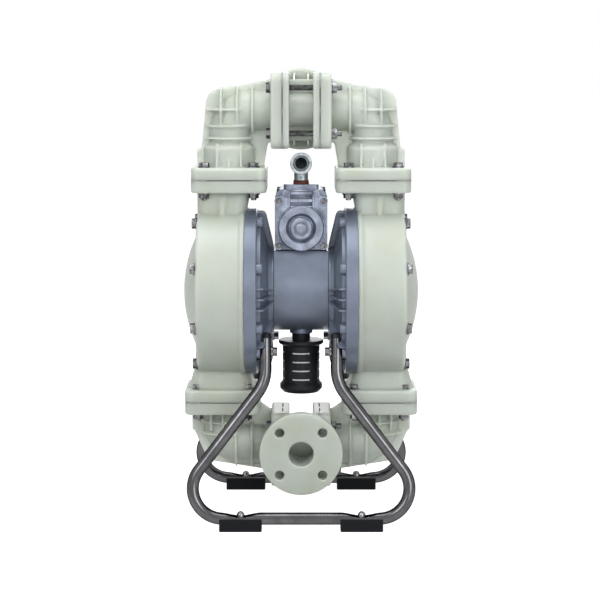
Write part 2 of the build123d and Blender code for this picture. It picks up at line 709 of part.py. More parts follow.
# Front cover with its round cap, stepped slats and four screw ears, and a plain rear cover
cover_mid_z = cover_low_z + cover_height / 2
cap_face_y = cover_face_y - cap_ring_rise
button_bore = button_radius + button_play
flange_radius = button_radius + 4
flange_seat_y = cover_face_y + 4
with BuildPart() as air_valve_front_cover:
    with BuildSketch(Plane.XZ.offset(valve_half_depth)):
        with Locations((0, cover_mid_z)):
            RectangleRounded(cover_width, cover_height, 9)
        with Locations((0, cover_low_z + cover_height)):
            RectangleRounded(0.74 * cover_width, 24, 8)
    extrude(amount=cover_thickness - 4)
    bar(Plane.XZ.offset(valve_half_depth), corner_spots, 9, cover_thickness)
    bar(Plane.XZ.offset(valve_half_depth), [(-30, cover_low_z + cover_height + 4),
                                            (30, cover_low_z + cover_height + 4)], 6,
        cover_thickness - 2)
    bar(Plane.XZ.offset(valve_half_depth), [(0, spool_z)], cap_ring_radius,
        cover_thickness + cap_ring_rise)
    with BuildSketch(Plane.XZ.offset(valve_half_depth + cover_thickness - 5)):
        with Locations(*[(0, spool_z + cap_ring_radius + 9 * i) for i in range(3)]):
            Rectangle(42, 4.5)
    extrude(amount=5)
    revolve_profile = Plane((0, 0, spool_z), x_dir=(0, 1, 0), z_dir=(1, 0, 0))
    with BuildSketch(revolve_profile):
        with BuildLine():
            Polyline((cap_face_y, cap_groove_radius), (cap_face_y + 5, cap_boss_radius + 2),
                     (cap_face_y + 5, cap_boss_radius), (cap_face_y, cap_boss_radius), close=True)
        make_face()
    revolve(axis=Axis((0, 0, spool_z), (0, 1, 0)), mode=Mode.SUBTRACT)
    bar(Plane.XZ.offset(valve_half_depth), [(0, spool_z)], flange_radius + button_play,
        cover_thickness - 4, Mode.SUBTRACT)
    bar(Plane.XZ.offset(valve_half_depth), [(0, spool_z)], button_bore,
        cover_thickness + cap_ring_rise, Mode.SUBTRACT)
    bar(Plane.XZ.offset(valve_half_depth), corner_spots, cover_screw + hole_play,
        cover_thickness, Mode.SUBTRACT)
finish(air_valve_front_cover, "air_valve_front_cover")

with BuildPart() as air_valve_rear_cover:
    with BuildSketch(Plane.XZ.offset(-valve_half_depth)):
        with Locations((0, cover_mid_z)):
            RectangleRounded(cover_width, cover_height, 9)
    extrude(amount=-(cover_thickness - 4))
    bar(Plane.XZ.offset(-valve_half_depth), corner_spots, 9, -cover_thickness)
    bar(Plane.XZ.offset(-valve_half_depth), [(0, spool_z)], cap_ring_radius, -cover_thickness)
    chamfer(faces().sort_by(Axis.Y)[-1].edges(), 3)
    bar(Plane.XZ.offset(-valve_half_depth), corner_spots, cover_screw + hole_play,
        -cover_thickness, Mode.SUBTRACT)
finish(air_valve_rear_cover, "air_valve_rear_cover")

button_flange = 3.0
button_tip_y = -(spool_half + spool_travel + stop_play + button_travel)
with BuildPart() as reset_button:
    button_axis = Axis((0, 0, spool_z), (0, 1, 0))
    turned([(cap_face_y - 2, 0), (cap_face_y - 2, button_radius - 1),
            (cap_face_y - 1, button_radius), (flange_seat_y, button_radius),
            (flange_seat_y, flange_radius), (flange_seat_y + button_flange, flange_radius),
            (flange_seat_y + button_flange, pilot_radius), (button_tip_y, pilot_radius),
            (button_tip_y, 0)], revolve_profile, button_axis)
finish(reset_button, "reset_button")

spring_radius = flange_radius - spring_wire
spring_start = flange_seat_y + button_flange + spring_wire
spring_length = cover_back_y - spring_wire - spring_start
with BuildPart() as button_spring:
    with BuildLine():
        coil = Helix(spring_length / spring_turns, spring_length, spring_radius,
                     center=(0, spring_start, spool_z), direction=(0, 1, 0))
    with BuildSketch(Plane(origin=coil @ 0, z_dir=coil % 0)):
        RegularPolygon(spring_wire, 6)
    sweep(path=coil.edge(), is_frenet=True)
finish(button_spring, "button_spring")

with BuildPart() as cover_screws:
    for side in (1, -1):
        head_plane = Plane.XZ.offset(side * (valve_half_depth + cover_thickness))
        bar(head_plane, corner_spots, cover_screw * socket_ratio, side * cover_screw)
        bar(head_plane, corner_spots, cover_screw,
            -side * (cover_thickness + cover_screw_grip))
        with BuildSketch(head_plane.offset(side * cover_screw)) as sockets:
            with Locations(*corner_spots):
                RegularPolygon(cover_screw * 0.8, 6)
        extrude(sockets.sketch, amount=-side * cover_screw * 0.8, mode=Mode.SUBTRACT)
finish(cover_screws, "cover_screws")

with BuildPart() as valve_bolts:
    top = Plane.XY.offset(valve_top_z)
    bar(top, valve_bolt_spots, m8 * socket_ratio, m8 * 1.5)
    bar(top, valve_bolt_spots, m8 - running_play, -(valve_height + valve_gasket + valve_bolt_grip))
finish(valve_bolts, "valve_bolts")

# Street elbow of the air inlet: male end down in the valve body, socket facing the front
with BuildPart() as inlet_elbow:
    with BuildLine():
        route = FilletPolyline((0, inlet_y, inlet_floor_z), (0, inlet_y, inlet_z),
                               (0, inlet_mouth_y, inlet_z), radius=[inlet_radius + 2])
    with BuildSketch(Plane.XY.offset(inlet_floor_z).move(Location((0, inlet_y, 0)))):
        Circle(inlet_radius)
    sweep(path=route)
    bar(Plane.XZ.offset(-inlet_mouth_y - 16), [(0, inlet_z)], inlet_band - 3, 16)
    bar(Plane.XZ.offset(-inlet_mouth_y - 9), [(0, inlet_z)], inlet_band, 9)
    with BuildSketch(Plane.XY.offset(inlet_floor_z).move(Location((0, inlet_y, 0)))) as bore:
        Circle(inlet_radius - 4)
    sweep(bore.sketch, path=route, mode=Mode.SUBTRACT)
    bar(Plane.XZ.offset(-inlet_mouth_y), [(0, inlet_z)], inlet_bore, -inlet_socket, Mode.SUBTRACT)
finish(inlet_elbow, "inlet_elbow")

with BuildPart() as thread_sealant:
    tube(Plane.XY.offset(valve_cap_z), [(0, inlet_y)], inlet_radius + 1, inlet_radius,
         sealant_height)
finish(thread_sealant, "thread_sealant")


# Muffler under the centre body
muffler_low_z = muffler_z - muffler_length
muffler_top_z = muffler_z - 21
with BuildPart() as muffler_body:
    cap_z = muffler_z - 13
    turned([(0, muffler_z + muffler_thread), (muffler_stub, muffler_z + muffler_thread),
            (muffler_stub, muffler_z), (muffler_neck, muffler_z), (muffler_neck, cap_z),
            (muffler_cap_radius, cap_z - 1), (muffler_cap_radius, cap_z - 8),
            (muffler_body_radius, cap_z - 12), (muffler_body_radius, muffler_low_z + 22),
            (muffler_flare_radius, muffler_low_z + 16), (muffler_flare_radius, muffler_low_z + 7),
            (muffler_body_radius, muffler_low_z), (0, muffler_low_z)], Plane.XZ, Axis.Z)
    bar(Plane.XY.offset(muffler_low_z + muffler_wall), [(0, 0)],
        muffler_body_radius - muffler_wall, muffler_top_z - muffler_low_z - muffler_wall,
        Mode.SUBTRACT)
    bar(Plane.XY.offset(muffler_top_z), [(0, 0)], muffler_stub - 5,
        muffler_z + muffler_thread - muffler_top_z, Mode.SUBTRACT)
    slot_top = muffler_z - 38.5
    for plane in (Plane.XZ, Plane.YZ):
        with BuildSketch(plane) as slots:
            with Locations(*[(0, slot_top - i * slot_pitch) for i in range(slot_rows)]):
                Rectangle(*slot_size)
        extrude(slots.sketch, amount=muffler_flare_radius + 1, both=True, mode=Mode.SUBTRACT)
finish(muffler_body, "muffler_body")

with BuildPart() as muffler_element:
    tube(Plane.XY.offset(muffler_low_z + muffler_wall), [(0, 0)],
         muffler_body_radius - muffler_wall - 1, muffler_body_radius - muffler_wall - 6,
         muffler_top_z - muffler_low_z - muffler_wall)
finish(muffler_element, "muffler_element")


# Manifolds. Each elbow and tee is drawn in its own frame, then placed
end_x = tee_half + elbow_plate


def elbow(neck_x, rise, outline, corners, rib_levels, rib_stations, caged):
    """Elbow for the +X side. Its neck seam is on XY, and it rises and turns towards X 0."""
    neck_spot = [(neck_x, 0)]
    far_plate = Plane((tee_half, 0, rise), x_dir=(0, 1, 0), z_dir=(1, 0, 0))
    with BuildPart() as ribs:
        for level in rib_levels:
            bar(Plane.XY.offset(level), neck_spot, manifold_rib_radius, manifold_rib)
        for station in rib_stations:
            bar(Plane.YZ.offset(station), [(0, rise)], manifold_rib_radius, manifold_rib)
        with BuildSketch(Plane.XZ) as web:
            with BuildLine():
                FilletPolyline(*outline, radius=corners, close=True)
            make_face()
        extrude(web.sketch, amount=manifold_rib_radius, both=True, mode=Mode.INTERSECT)
    with BuildPart() as piece:
        with BuildLine() as run:
            FilletPolyline((neck_x, 0, 0), (neck_x, 0, rise), (tee_half, 0, rise),
                           radius=[bend_radius])
        with BuildSketch() as outside:
            with Locations(*neck_spot):
                Circle(pipe_radius)
        sweep(outside.sketch, path=run.wire())
        extrude(web.sketch, amount=web_thickness / 2, both=True)
        add(ribs.part)
        if caged:
            bar(Plane.XY, neck_spot, cage_radius + cage_wall, cage_top)
            with BuildSketch(Plane.XY.offset(cage_top)) as wide:
                with Locations(*neck_spot):
                    Circle(cage_radius + cage_wall)
            with BuildSketch(Plane.XY.offset(cage_top + upper_cage_throat)) as narrow:
                with Locations(*neck_spot):
                    Circle(pipe_radius)
            loft([wide.sketch.face(), narrow.sketch.face()])
        gusset_top = cage_top + 10 if caged else rise - pipe_radius
        for offset_x in gusset_places:
            with BuildSketch(Plane.YZ.offset(neck_x + offset_x - manifold_rib / 2)) as gusset:
                with BuildLine():
                    Polyline((-plate_width / 2 + 10, 0), (plate_width / 2 - 10, 0),
                             (pipe_radius + 8, gusset_top), (-pipe_radius - 8, gusset_top),
                             close=True)
                make_face()
            extrude(gusset.sketch, amount=manifold_rib)
        add(neck_flange.moved(Location((neck_x, 0, 0))))
        add(elbow_flange.moved(far_plate.location))
        with BuildSketch() as inside:
            with Locations(*neck_spot):
                Circle(port_radius)
        sweep(inside.sketch, path=run.wire(), mode=Mode.SUBTRACT)
        if caged:
            add(discharge_cage.moved(Location((neck_x, 0, 0))), mode=Mode.SUBTRACT)
        else:
            bar(Plane.XY, neck_spot, seat_ring_radius + running_play, seat_ring_height,
                Mode.SUBTRACT)
            tube(Plane.XY, neck_spot, seal_ring_radius, seal_ring_radius - seal_ring_width,
                 seal_ring_width, Mode.SUBTRACT)
        bolt_way = square_spots(joint_bolt_spacing, (neck_x, 0))
        bar(Plane.XY, bolt_way, m12 + hole_play, neck_plate, Mode.SUBTRACT)
        bar(Plane.XY.offset(neck_plate), bolt_way, nut_room, nut_reach, Mode.SUBTRACT)
        bar(Plane.YZ.offset(end_x), square_spots(tie_bolt_spacing, (0, rise)), nut_room,
            nut_reach, Mode.SUBTRACT)
    return piece.part


def tee(reach):
    """Tee with its run along X and its pipe flange facing +Y."""
    flange_back = reach - pipe_flange_thickness
    with BuildPart() as piece:
        bar(Plane.YZ.offset(-tee_half), [(0, 0)], pipe_radius, 2 * tee_half)
        bar(Plane.XZ, [(0, 0)], pipe_radius, -reach)
        bar(Plane.XZ.offset(-flange_back), [(0, 0)], pipe_flange_radius, -pipe_flange_thickness)
        with BuildSketch(Plane.XZ) as fin:
            Rectangle(2 * (tee_half - tee_plate), 2 * (plate_width / 2 - 14))
        extrude(fin.sketch, amount=web_thickness / 2, both=True)
        with BuildSketch(Plane.YZ) as gusset:
            with BuildLine():
                Polyline((0, -plate_width / 2 + 14), (0, plate_width / 2 - 14),
                         (flange_back, pipe_flange_radius - 8),
                         (flange_back, 8 - pipe_flange_radius), close=True)
            make_face()
        for offset_x in (-14, 14):
            extrude(gusset.sketch.moved(Location((offset_x, 0, 0))), amount=manifold_rib / 2,
                    both=True)
        for side in (-1, 1):
            face = Plane((side * tee_half, 0, 0), x_dir=(0, 1, 0), z_dir=(-side, 0, 0))
            add(tee_flange.moved(face.location))
        bar(Plane.YZ.offset(-tee_half), [(0, 0)], port_radius, 2 * tee_half, Mode.SUBTRACT)
        bar(Plane.XZ, [(0, 0)], port_radius, -reach, Mode.SUBTRACT)
        bar(Plane.XZ.offset(-flange_back), circle_spots(pipe_flange_pcd / 2, (45, 135, 225, 315)),
            pipe_flange_hole, -pipe_flange_thickness, Mode.SUBTRACT)
        bar(Plane.YZ.offset(-tee_half), square_spots(tie_bolt_spacing), m12 + hole_play,
            2 * tee_half, Mode.SUBTRACT)
        for side in (-1, 1):
            tube(Plane.YZ.offset(side * tee_half), [(0, 0)], tee_seal_radius,
                 tee_seal_radius - seal_ring_width, -side * seal_ring_width, Mode.SUBTRACT)
    return piece.part


elbow_flange = joint_plate(elbow_plate, tie_bolt_spacing, slit_bridge)
tee_flange = joint_plate(tee_plate, tie_bolt_spacing, slit_bridge)
upper_rim_x = upper_neck_x + plate_width / 2
upper_inner_x = upper_neck_x - plate_width / 2
discharge_outline = [
    (upper_rim_x - discharge_shoulder_inset, neck_plate),
    (upper_rim_x - discharge_shoulder_inset, discharge_shoulder),
    (upper_rim_x - discharge_step_inset, discharge_shoulder + 1),
    (upper_neck_x + discharge_crown[0], discharge_rise + discharge_crown[1]),
    (end_x, discharge_rise + plate_width / 2 - discharge_rim_inset),
    (end_x, discharge_rise - plate_width / 2 + discharge_rim_inset),
    (upper_inner_x - 1, discharge_rise - web_inner_drop),
    (upper_inner_x + web_foot_inset, neck_plate)]
lower_rim_x = lower_neck_x + plate_width / 2
lower_inner_x = lower_neck_x - plate_width / 2
suction_outline = [
    (lower_rim_x - suction_shoulder_inset, neck_plate),
    (lower_rim_x - suction_shoulder_inset, suction_shoulder),
    (lower_rim_x - suction_step_inset, suction_shoulder + 3),
    (lower_neck_x + suction_crown[0], suction_drop + suction_crown[1]),
    (end_x, suction_drop + plate_width / 2 - suction_rim_inset),
    (end_x, neck_plate),
    (lower_inner_x + 1, neck_plate / 2 - 3),
    (lower_inner_x + 2 * web_foot_inset, neck_plate / 2)]
discharge_elbow = elbow(
    upper_neck_x, discharge_rise, discharge_outline, [0, 4, 0, 32, 0, 0, 10, 0],
    (cage_top + upper_cage_throat, discharge_rise - pipe_radius, discharge_rise),
    [upper_neck_x + place for place in discharge_rib_places], True)
suction_elbow = elbow(
    lower_neck_x, suction_drop, suction_outline, [0, 3, 0, 24, 0, 0, 0, 0],
    (neck_plate + 20, suction_drop - 28),
    [lower_neck_x + place for place in suction_rib_places], False)
discharge_level = Location((0, 0, upper_seam_z))
suction_level = Location((0, 0, lower_seam_z))

with BuildPart() as discharge_elbow_right:
    add(discharge_elbow.moved(discharge_level))
finish(discharge_elbow_right, "discharge_elbow_right")

with BuildPart() as discharge_elbow_left:
    add(discharge_elbow.moved(discharge_level).rotate(Axis.Z, 180))
finish(discharge_elbow_left, "discharge_elbow_left")

with BuildPart() as discharge_tee:
    add(tee(discharge_reach).moved(Location((0, 0, discharge_z))))
finish(discharge_tee, "discharge_tee")

with BuildPart() as suction_elbow_right:
    add(suction_elbow.rotate(Axis.X, 180).moved(suction_level))
finish(suction_elbow_right, "suction_elbow_right")

with BuildPart() as suction_elbow_left:
    add(suction_elbow.rotate(Axis.Y, 180).moved(suction_level))
finish(suction_elbow_left, "suction_elbow_left")

with BuildPart() as suction_tee:
    add(tee(suction_reach).rotate(Axis.Z, 180).moved(Location((0, 0, suction_z))))
finish(suction_tee, "suction_tee")


# Valve seats, balls and sealing rings
seat_places = {"discharge": (upper_neck_x, upper_seam_z), "suction": (lower_neck_x, lower_seam_z)}
cone_foot = (seat_mouth - port_radius) * cone_slope
for stage, (seat_x, seam_z) in seat_places.items():
    with BuildPart() as valve_seats:
        for side in (-1, 1):
            turned([(port_radius, -seat_ring_height), (seat_ring_radius, -seat_ring_height),
                    (seat_ring_radius, 0), (seat_mouth, 0), (port_radius, -cone_foot)],
                   Plane((side * seat_x, 0, seam_z), x_dir=(1, 0, 0), z_dir=(0, -1, 0)),
                   Axis((side * seat_x, 0, 0), (0, 0, 1)))
    finish(valve_seats, f"{stage}_valve_seats")
    for side, hand in ((-1, "left"), (1, "right")):
        with BuildPart() as ball:
            with Locations((side * seat_x, 0, seam_z + ball_rise)):
                Sphere(ball_radius)
        finish(ball, f"{hand}_{stage}_ball")

with BuildPart() as seat_o_rings:
    for seat_x, seam_z in seat_places.values():
        tube(Plane.XY.offset(seam_z), [(-seat_x, 0), (seat_x, 0)], seal_ring_radius,
             seal_ring_radius - seal_ring_width, -seal_ring_width)
finish(seat_o_rings, "seat_o_rings")

with BuildPart() as tee_o_rings:
    for side in (-1, 1):
        tube(Plane.YZ.offset(side * tee_half), [(0, discharge_z), (0, suction_z)],
             tee_seal_radius, tee_seal_radius - seal_ring_width, -side * seal_ring_width)
finish(tee_o_rings, "tee_o_rings")


# Hexagon bolts
def bolted_joint(head_plane, spots, radius, grip):
    """Bolts with heads on a plane and loose-fitting nuts on the far side of the grip."""
    nut_height = radius * head_height_ratio * 1.3
    hexagon(head_plane, spots, radius, radius * head_height_ratio)
    bar(head_plane, spots, radius, -(grip + nut_height + radius / 2))
    hexagon(head_plane.offset(-grip), spots, radius, -nut_height, radius + running_play)


with BuildPart() as chamber_bolts:
    for side in (-1, 1):
        shoulder = Plane.YZ.offset(side * shoulder_x)
        hexagon(shoulder, chamber_bolt_spots, m12, side * m12 * head_height_ratio)
        bar(shoulder, chamber_bolt_spots, m12, -side * (shoulder_x - rim_back_x + 12))
finish(chamber_bolts, "chamber_bolts")

with BuildPart() as hub_bolts:
    for side in (-1, 1):
        plate_face = Plane.YZ.offset(side * (hub_x + hub_plate))
        bar(plate_face, hub_bolt_spots, m8 * socket_ratio, side * m8 * 1.5)
        bar(plate_face, hub_bolt_spots, m8, -side * (hub_plate + chamber_gasket + hub_bolt_grip))
finish(hub_bolts, "hub_bolts")

for stage, (seat_x, seam_z) in seat_places.items():
    both_joints = (square_spots(joint_bolt_spacing, (seat_x, 0))
                   + square_spots(joint_bolt_spacing, (-seat_x, 0)))
    with BuildPart() as flange_bolts:
        bolted_joint(Plane.XY.offset(seam_z + neck_plate), both_joints, m12, 2 * neck_plate)
    finish(flange_bolts, f"{stage}_flange_bolts")

for stage, level in (("discharge", discharge_z), ("suction", suction_z)):
    with BuildPart() as tie_bolts:
        bolted_joint(Plane((-end_x, 0, level), x_dir=(0, 1, 0), z_dir=(-1, 0, 0)),
                     square_spots(tie_bolt_spacing), m12, 2 * end_x)
    finish(tie_bolts, f"{stage}_tie_bolts")


# Stand: two leaning frames of bent tube on rubber feet
with BuildPart() as front_stand_frame:
    with BuildLine(stand_plane) as bends:
        FilletPolyline((-upright_x, tube_top), (-upright_x, bend_height), (-foot_corner_x, 0),
                       (foot_corner_x, 0), (upright_x, bend_height), (upright_x, tube_top),
                       radius=[upright_bend, corner_bend, corner_bend, upright_bend])
    with BuildSketch(Plane(bends.line @ 0, z_dir=bends.line % 0)) as wall:
        Circle(tube_radius)
        Circle(tube_radius - tube_wall, mode=Mode.SUBTRACT)
    sweep(wall.sketch, path=bends.wire())
    flat_height = 2 * (upright_end + lug_radius)
    with BuildSketch(stand_plane) as flats:
        with Locations(*[(side * (upright_x + edge * tube_radius), tube_top)
                         for side in (-1, 1) for edge in (-1, 1)]):
            Rectangle(2 * tube_flat, flat_height)
    extrude(flats.sketch, amount=2 * tube_radius, both=True, mode=Mode.SUBTRACT)
    bar(Plane.YZ.offset(-2 * upright_x), [lug_spots[0]], m10 + hole_play, 4 * upright_x,
        Mode.SUBTRACT)
    bar(Plane.XY, [(-pad_x, -foot_y), (pad_x, -foot_y)], m8 + hole_play,
        tube_height + 2 * tube_radius, Mode.SUBTRACT)
finish(front_stand_frame, "front_stand_frame")

with BuildPart() as rear_stand_frame:
    add(front_stand_frame.part.rotate(Axis.Z, 180))
finish(rear_stand_frame, "rear_stand_frame")

with BuildPart() as tube_end_plugs:
    for side in (-1, 1):
        top_point = stand_plane.from_local_coords((side * upright_x, tube_top, 0))
        top_plane = Plane(top_point, x_dir=(1, 0, 0), z_dir=lean)
        bar(top_plane, [(0, 0)], tube_radius - tube_flat, 2.5)
        bar(top_plane, [(0, 0)], tube_radius - tube_wall - running_play, -10)
    add(tube_end_plugs.part.rotate(Axis.Z, 180))
finish(tube_end_plugs, "tube_end_plugs")

with BuildPart() as stand_mount_bolts:
    for side in (-1, 1):
        inner_face = Plane.YZ.offset(side * (upright_x - tube_radius + tube_flat))
        hexagon(inner_face, lug_spots, m10, -side * m10 * head_height_ratio)
        bar(inner_face, lug_spots, m10,
            side * (2 * (tube_radius - tube_flat) + stand_bolt_grip))
finish(stand_mount_bolts, "stand_mount_bolts")

pad_length, pad_width, pad_height = pad_size
foot_spots = [(x, y) for x in (-pad_x, pad_x) for y in (-foot_y, foot_y)]
foot_bolt_base = pad_height / 3
with BuildPart() as rubber_feet:
    for x, y in foot_spots:
        with BuildSketch(Plane.YZ.offset(x - pad_length / 2)) as end_face:
            with Locations((y, pad_height / 2)):
                Rectangle(pad_width, pad_height)
            with Locations((y, tube_height)):
                Circle(tube_radius + 4 * running_play, mode=Mode.SUBTRACT)
        extrude(end_face.sketch, amount=pad_length)
    bar(Plane.XY.offset(foot_bolt_base), foot_spots, m8 + running_play, pad_height,
        Mode.SUBTRACT)
finish(rubber_feet, "rubber_feet")

with BuildPart() as foot_bolts:
    tube_crown = Plane.XY.offset(tube_height + tube_radius)
    bar(tube_crown, foot_spots, m8 * 1.8, m8)
    chamfer(foot_bolts.edges().group_by(Axis.Z)[-1], m8 * 0.7)
    bar(tube_crown, foot_spots, m8, foot_bolt_base - tube_height - tube_radius)
finish(foot_bolts, "foot_bolts")
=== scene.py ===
"""Looks of an air operated double diaphragm pump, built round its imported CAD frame.

Lengths are in millimetres up to the point where a mesh is finished, and in metres after it.
X runs along the centre rod, -Y is the side with the suction flange, Z is up.
"""

import json
import logging
import math
from collections.abc import Callable, Iterable, Sequence
from dataclasses import dataclass
from enum import Enum

import bmesh
import bpy
from mathutils import Matrix, Vector

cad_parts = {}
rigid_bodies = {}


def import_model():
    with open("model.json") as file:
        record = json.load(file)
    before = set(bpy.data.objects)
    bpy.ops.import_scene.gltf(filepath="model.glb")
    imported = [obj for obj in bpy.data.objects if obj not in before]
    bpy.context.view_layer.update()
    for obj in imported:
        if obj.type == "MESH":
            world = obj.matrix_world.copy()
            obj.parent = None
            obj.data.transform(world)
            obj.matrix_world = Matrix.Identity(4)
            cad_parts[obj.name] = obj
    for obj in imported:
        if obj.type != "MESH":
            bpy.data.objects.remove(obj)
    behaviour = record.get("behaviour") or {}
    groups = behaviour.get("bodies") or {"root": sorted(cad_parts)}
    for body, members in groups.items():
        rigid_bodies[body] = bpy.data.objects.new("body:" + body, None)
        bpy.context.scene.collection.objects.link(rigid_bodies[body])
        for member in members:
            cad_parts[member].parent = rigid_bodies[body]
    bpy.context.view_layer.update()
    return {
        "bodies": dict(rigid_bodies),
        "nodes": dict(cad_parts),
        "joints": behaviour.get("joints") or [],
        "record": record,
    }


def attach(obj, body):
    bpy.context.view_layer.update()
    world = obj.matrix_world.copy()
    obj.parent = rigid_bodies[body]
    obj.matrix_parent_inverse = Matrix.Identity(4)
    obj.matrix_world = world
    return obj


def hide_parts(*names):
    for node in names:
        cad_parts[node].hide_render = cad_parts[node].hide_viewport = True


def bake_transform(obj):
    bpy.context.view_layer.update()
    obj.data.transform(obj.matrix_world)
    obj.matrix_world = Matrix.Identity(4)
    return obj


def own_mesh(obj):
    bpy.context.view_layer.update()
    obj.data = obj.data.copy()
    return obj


log = logging.getLogger("pump")

MM = 0.001
Pair = tuple[float, float]
Triple = tuple[float, float, float]
Spot = tuple[Triple, Triple, Triple]
ROOT = "pump"
SMOOTH_TURN = 20.0
MOULD_TURN = 60.0
BEVEL_TURN = 40.0
MELT_SHARE = 0.5
MELT_PASSES = 4
THIN_SHARE = 0.35
UPRIGHT = Matrix.Identity(4)


class Side(Enum):
    """The two mirrored halves of the pump."""

    LEFT = -1
    RIGHT = 1

    @property
    def hand(self) -> str:
        """The side's word in the names of pieces."""
        return self.name.lower()


class Stage(Enum):
    """The two manifolds that liquid passes through."""

    SUCTION = "suction"
    DISCHARGE = "discharge"


# Materials


@dataclass
class NodeBench:
    """Adds nodes to one tree and links them."""

    tree: bpy.types.NodeTree

    @classmethod
    def clean(cls, owner: bpy.types.ID) -> "NodeBench":
        """Return a bench on the emptied node tree of a material or a world.

        Args:
            owner: The material or world.

        Returns:
            The bench.
        """
        owner.use_nodes = True
        owner.node_tree.nodes.clear()
        return cls(owner.node_tree)

    def add(self, kind: str, inputs: dict | None = None, **settings: object) -> bpy.types.Node:
        """Add a node.

        Args:
            kind: The node's type name.
            inputs: Values or sockets for its inputs, by name or index.
            **settings: Attributes to set before the inputs.

        Returns:
            The new node.
        """
        node = self.tree.nodes.new(kind)
        for key, value in settings.items():
            setattr(node, key, value)
        for key, value in (inputs or {}).items():
            self.feed(node.inputs[key], value)
        return node

    def feed(self, socket: bpy.types.NodeSocket, value: object) -> None:
        """Link a socket to another one, or set its value.

        Args:
            socket: The input socket.
            value: An output socket or a plain value.
        """
        if isinstance(value, bpy.types.NodeSocket):
            self.tree.links.new(value, socket)
        else:
            socket.default_value = value


def new_group(name: str, kind: str, takes: dict, gives: dict) -> NodeBench:
    """Make an empty node group with named sockets.

    Args:
        name: The group's name.
        kind: ShaderNodeTree or GeometryNodeTree.
        takes: Socket type and default value by input name.
        gives: Socket type by output name.

    Returns:
        A bench on the group.
    """
    tree = bpy.data.node_groups.new(name, kind)
    for label, (socket_type, default) in takes.items():
        socket = tree.interface.new_socket(label, in_out="INPUT", socket_type=socket_type)
        if default is not None:
            socket.default_value = default
    for label, socket_type in gives.items():
        tree.interface.new_socket(label, in_out="OUTPUT", socket_type=socket_type)
    return NodeBench(tree)


def surface_group() -> bpy.types.NodeTree:
    """Build the group that gives a surface its patches of colour, its grain and its sheen.

    Returns:
        The shader node group, built once.
    """
    name = "Moulded or cast surface"
    if name in bpy.data.node_groups:
        return bpy.data.node_groups[name]
    bench = new_group(
        name, "ShaderNodeTree",
        {"Colour": ("NodeSocketColor", (0.5, 0.5, 0.5, 1.0)),
         "Shade": ("NodeSocketColor", (0.4, 0.4, 0.4, 1.0)),
         "Patch scale": ("NodeSocketFloat", 12.0),
         "Grain scale": ("NodeSocketFloat", 900.0),
         "Roughness": ("NodeSocketFloat", 0.5),
         "Roughness spread": ("NodeSocketFloat", 0.1)},
        {"Colour": "NodeSocketColor", "Roughness": "NodeSocketFloat",
         "Height": "NodeSocketFloat"})
    source = bench.add("NodeGroupInput")
    place = bench.add("ShaderNodeTexCoord").outputs["Object"]
    patches = bench.add("ShaderNodeTexNoise", {
        "Vector": place, "Scale": source.outputs["Patch scale"], "Detail": 4.0,
        "Roughness": 0.55})
    spread = bench.add("ShaderNodeMapRange", {
        "Value": patches.outputs["Fac"], "From Min": 0.35, "From Max": 0.65})
    tint = bench.add("ShaderNodeMix", {
        0: spread.outputs["Result"], 6: source.outputs["Colour"],
        7: source.outputs["Shade"]}, data_type="RGBA")
    grain = bench.add("ShaderNodeTexNoise", {
        "Vector": place, "Scale": source.outputs["Grain scale"], "Detail": 3.0})
    sheen = bench.add("ShaderNodeMath", {
        0: spread.outputs["Result"], 1: source.outputs["Roughness spread"],
        2: source.outputs["Roughness"]}, operation="MULTIPLY_ADD")
    bench.add("NodeGroupOutput", {
        "Colour": tint.outputs[2], "Roughness": sheen.outputs[0],
        "Height": grain.outputs["Fac"]})
    return bench.tree


@dataclass(frozen=True)
class Finish:
    """A finish of one material slot, turned into a node material on first use."""

    name: str
    slot: str
    colour: Triple
    shade: Triple
    roughness: float = 0.5
    spread: float = 0.08
    metallic: float = 0.0
    patch_scale: float = 14.0
    grain_scale: float = 900.0
    grain_depth: float = 0.0002
    subsurface: float = 0.0
    subsurface_depth: float = 0.01
    coat: float = 0.0
    specular: float = 0.5
    edge_tint: float = 1.0

    def material(self) -> bpy.types.Material:
        """Return the material, built once.

        Returns:
            The material.
        """
        if self.name in bpy.data.materials:
            return bpy.data.materials[self.name]
        made = bpy.data.materials.new(self.name)
        bench = NodeBench.clean(made)
        surface = bench.add("ShaderNodeGroup", {
            "Colour": (*self.colour, 1.0), "Shade": (*self.shade, 1.0),
            "Patch scale": self.patch_scale, "Grain scale": self.grain_scale,
            "Roughness": self.roughness, "Roughness spread": self.spread},
            node_tree=surface_group())
        bump = bench.add("ShaderNodeBump", {
            "Height": surface.outputs["Height"], "Distance": self.grain_depth,
            "Strength": 1.0})
        shader = bench.add("ShaderNodeBsdfPrincipled", {
            "Base Color": surface.outputs["Colour"],
            "Roughness": surface.outputs["Roughness"],
            "Metallic": self.metallic,
            "Normal": bump.outputs["Normal"],
            "Subsurface Weight": self.subsurface,
            "Subsurface Radius": (1.0, 1.0, 0.95),
            "Subsurface Scale": self.subsurface_depth,
            "Coat Weight": self.coat,
            "Specular IOR Level": self.specular,
            "Specular Tint": (self.edge_tint, self.edge_tint, self.edge_tint, 1.0)})
        bench.add("ShaderNodeOutputMaterial", {"Surface": shader.outputs["BSDF"]})
        return made

    def dress(self, thing: bpy.types.Object) -> bpy.types.Object:
        """Give an object this finish on every slot.

        Args:
            thing: The object.

        Returns:
            The same object.
        """
        thing.data.materials.clear()
        thing.data.materials.append(self.material())
        return thing


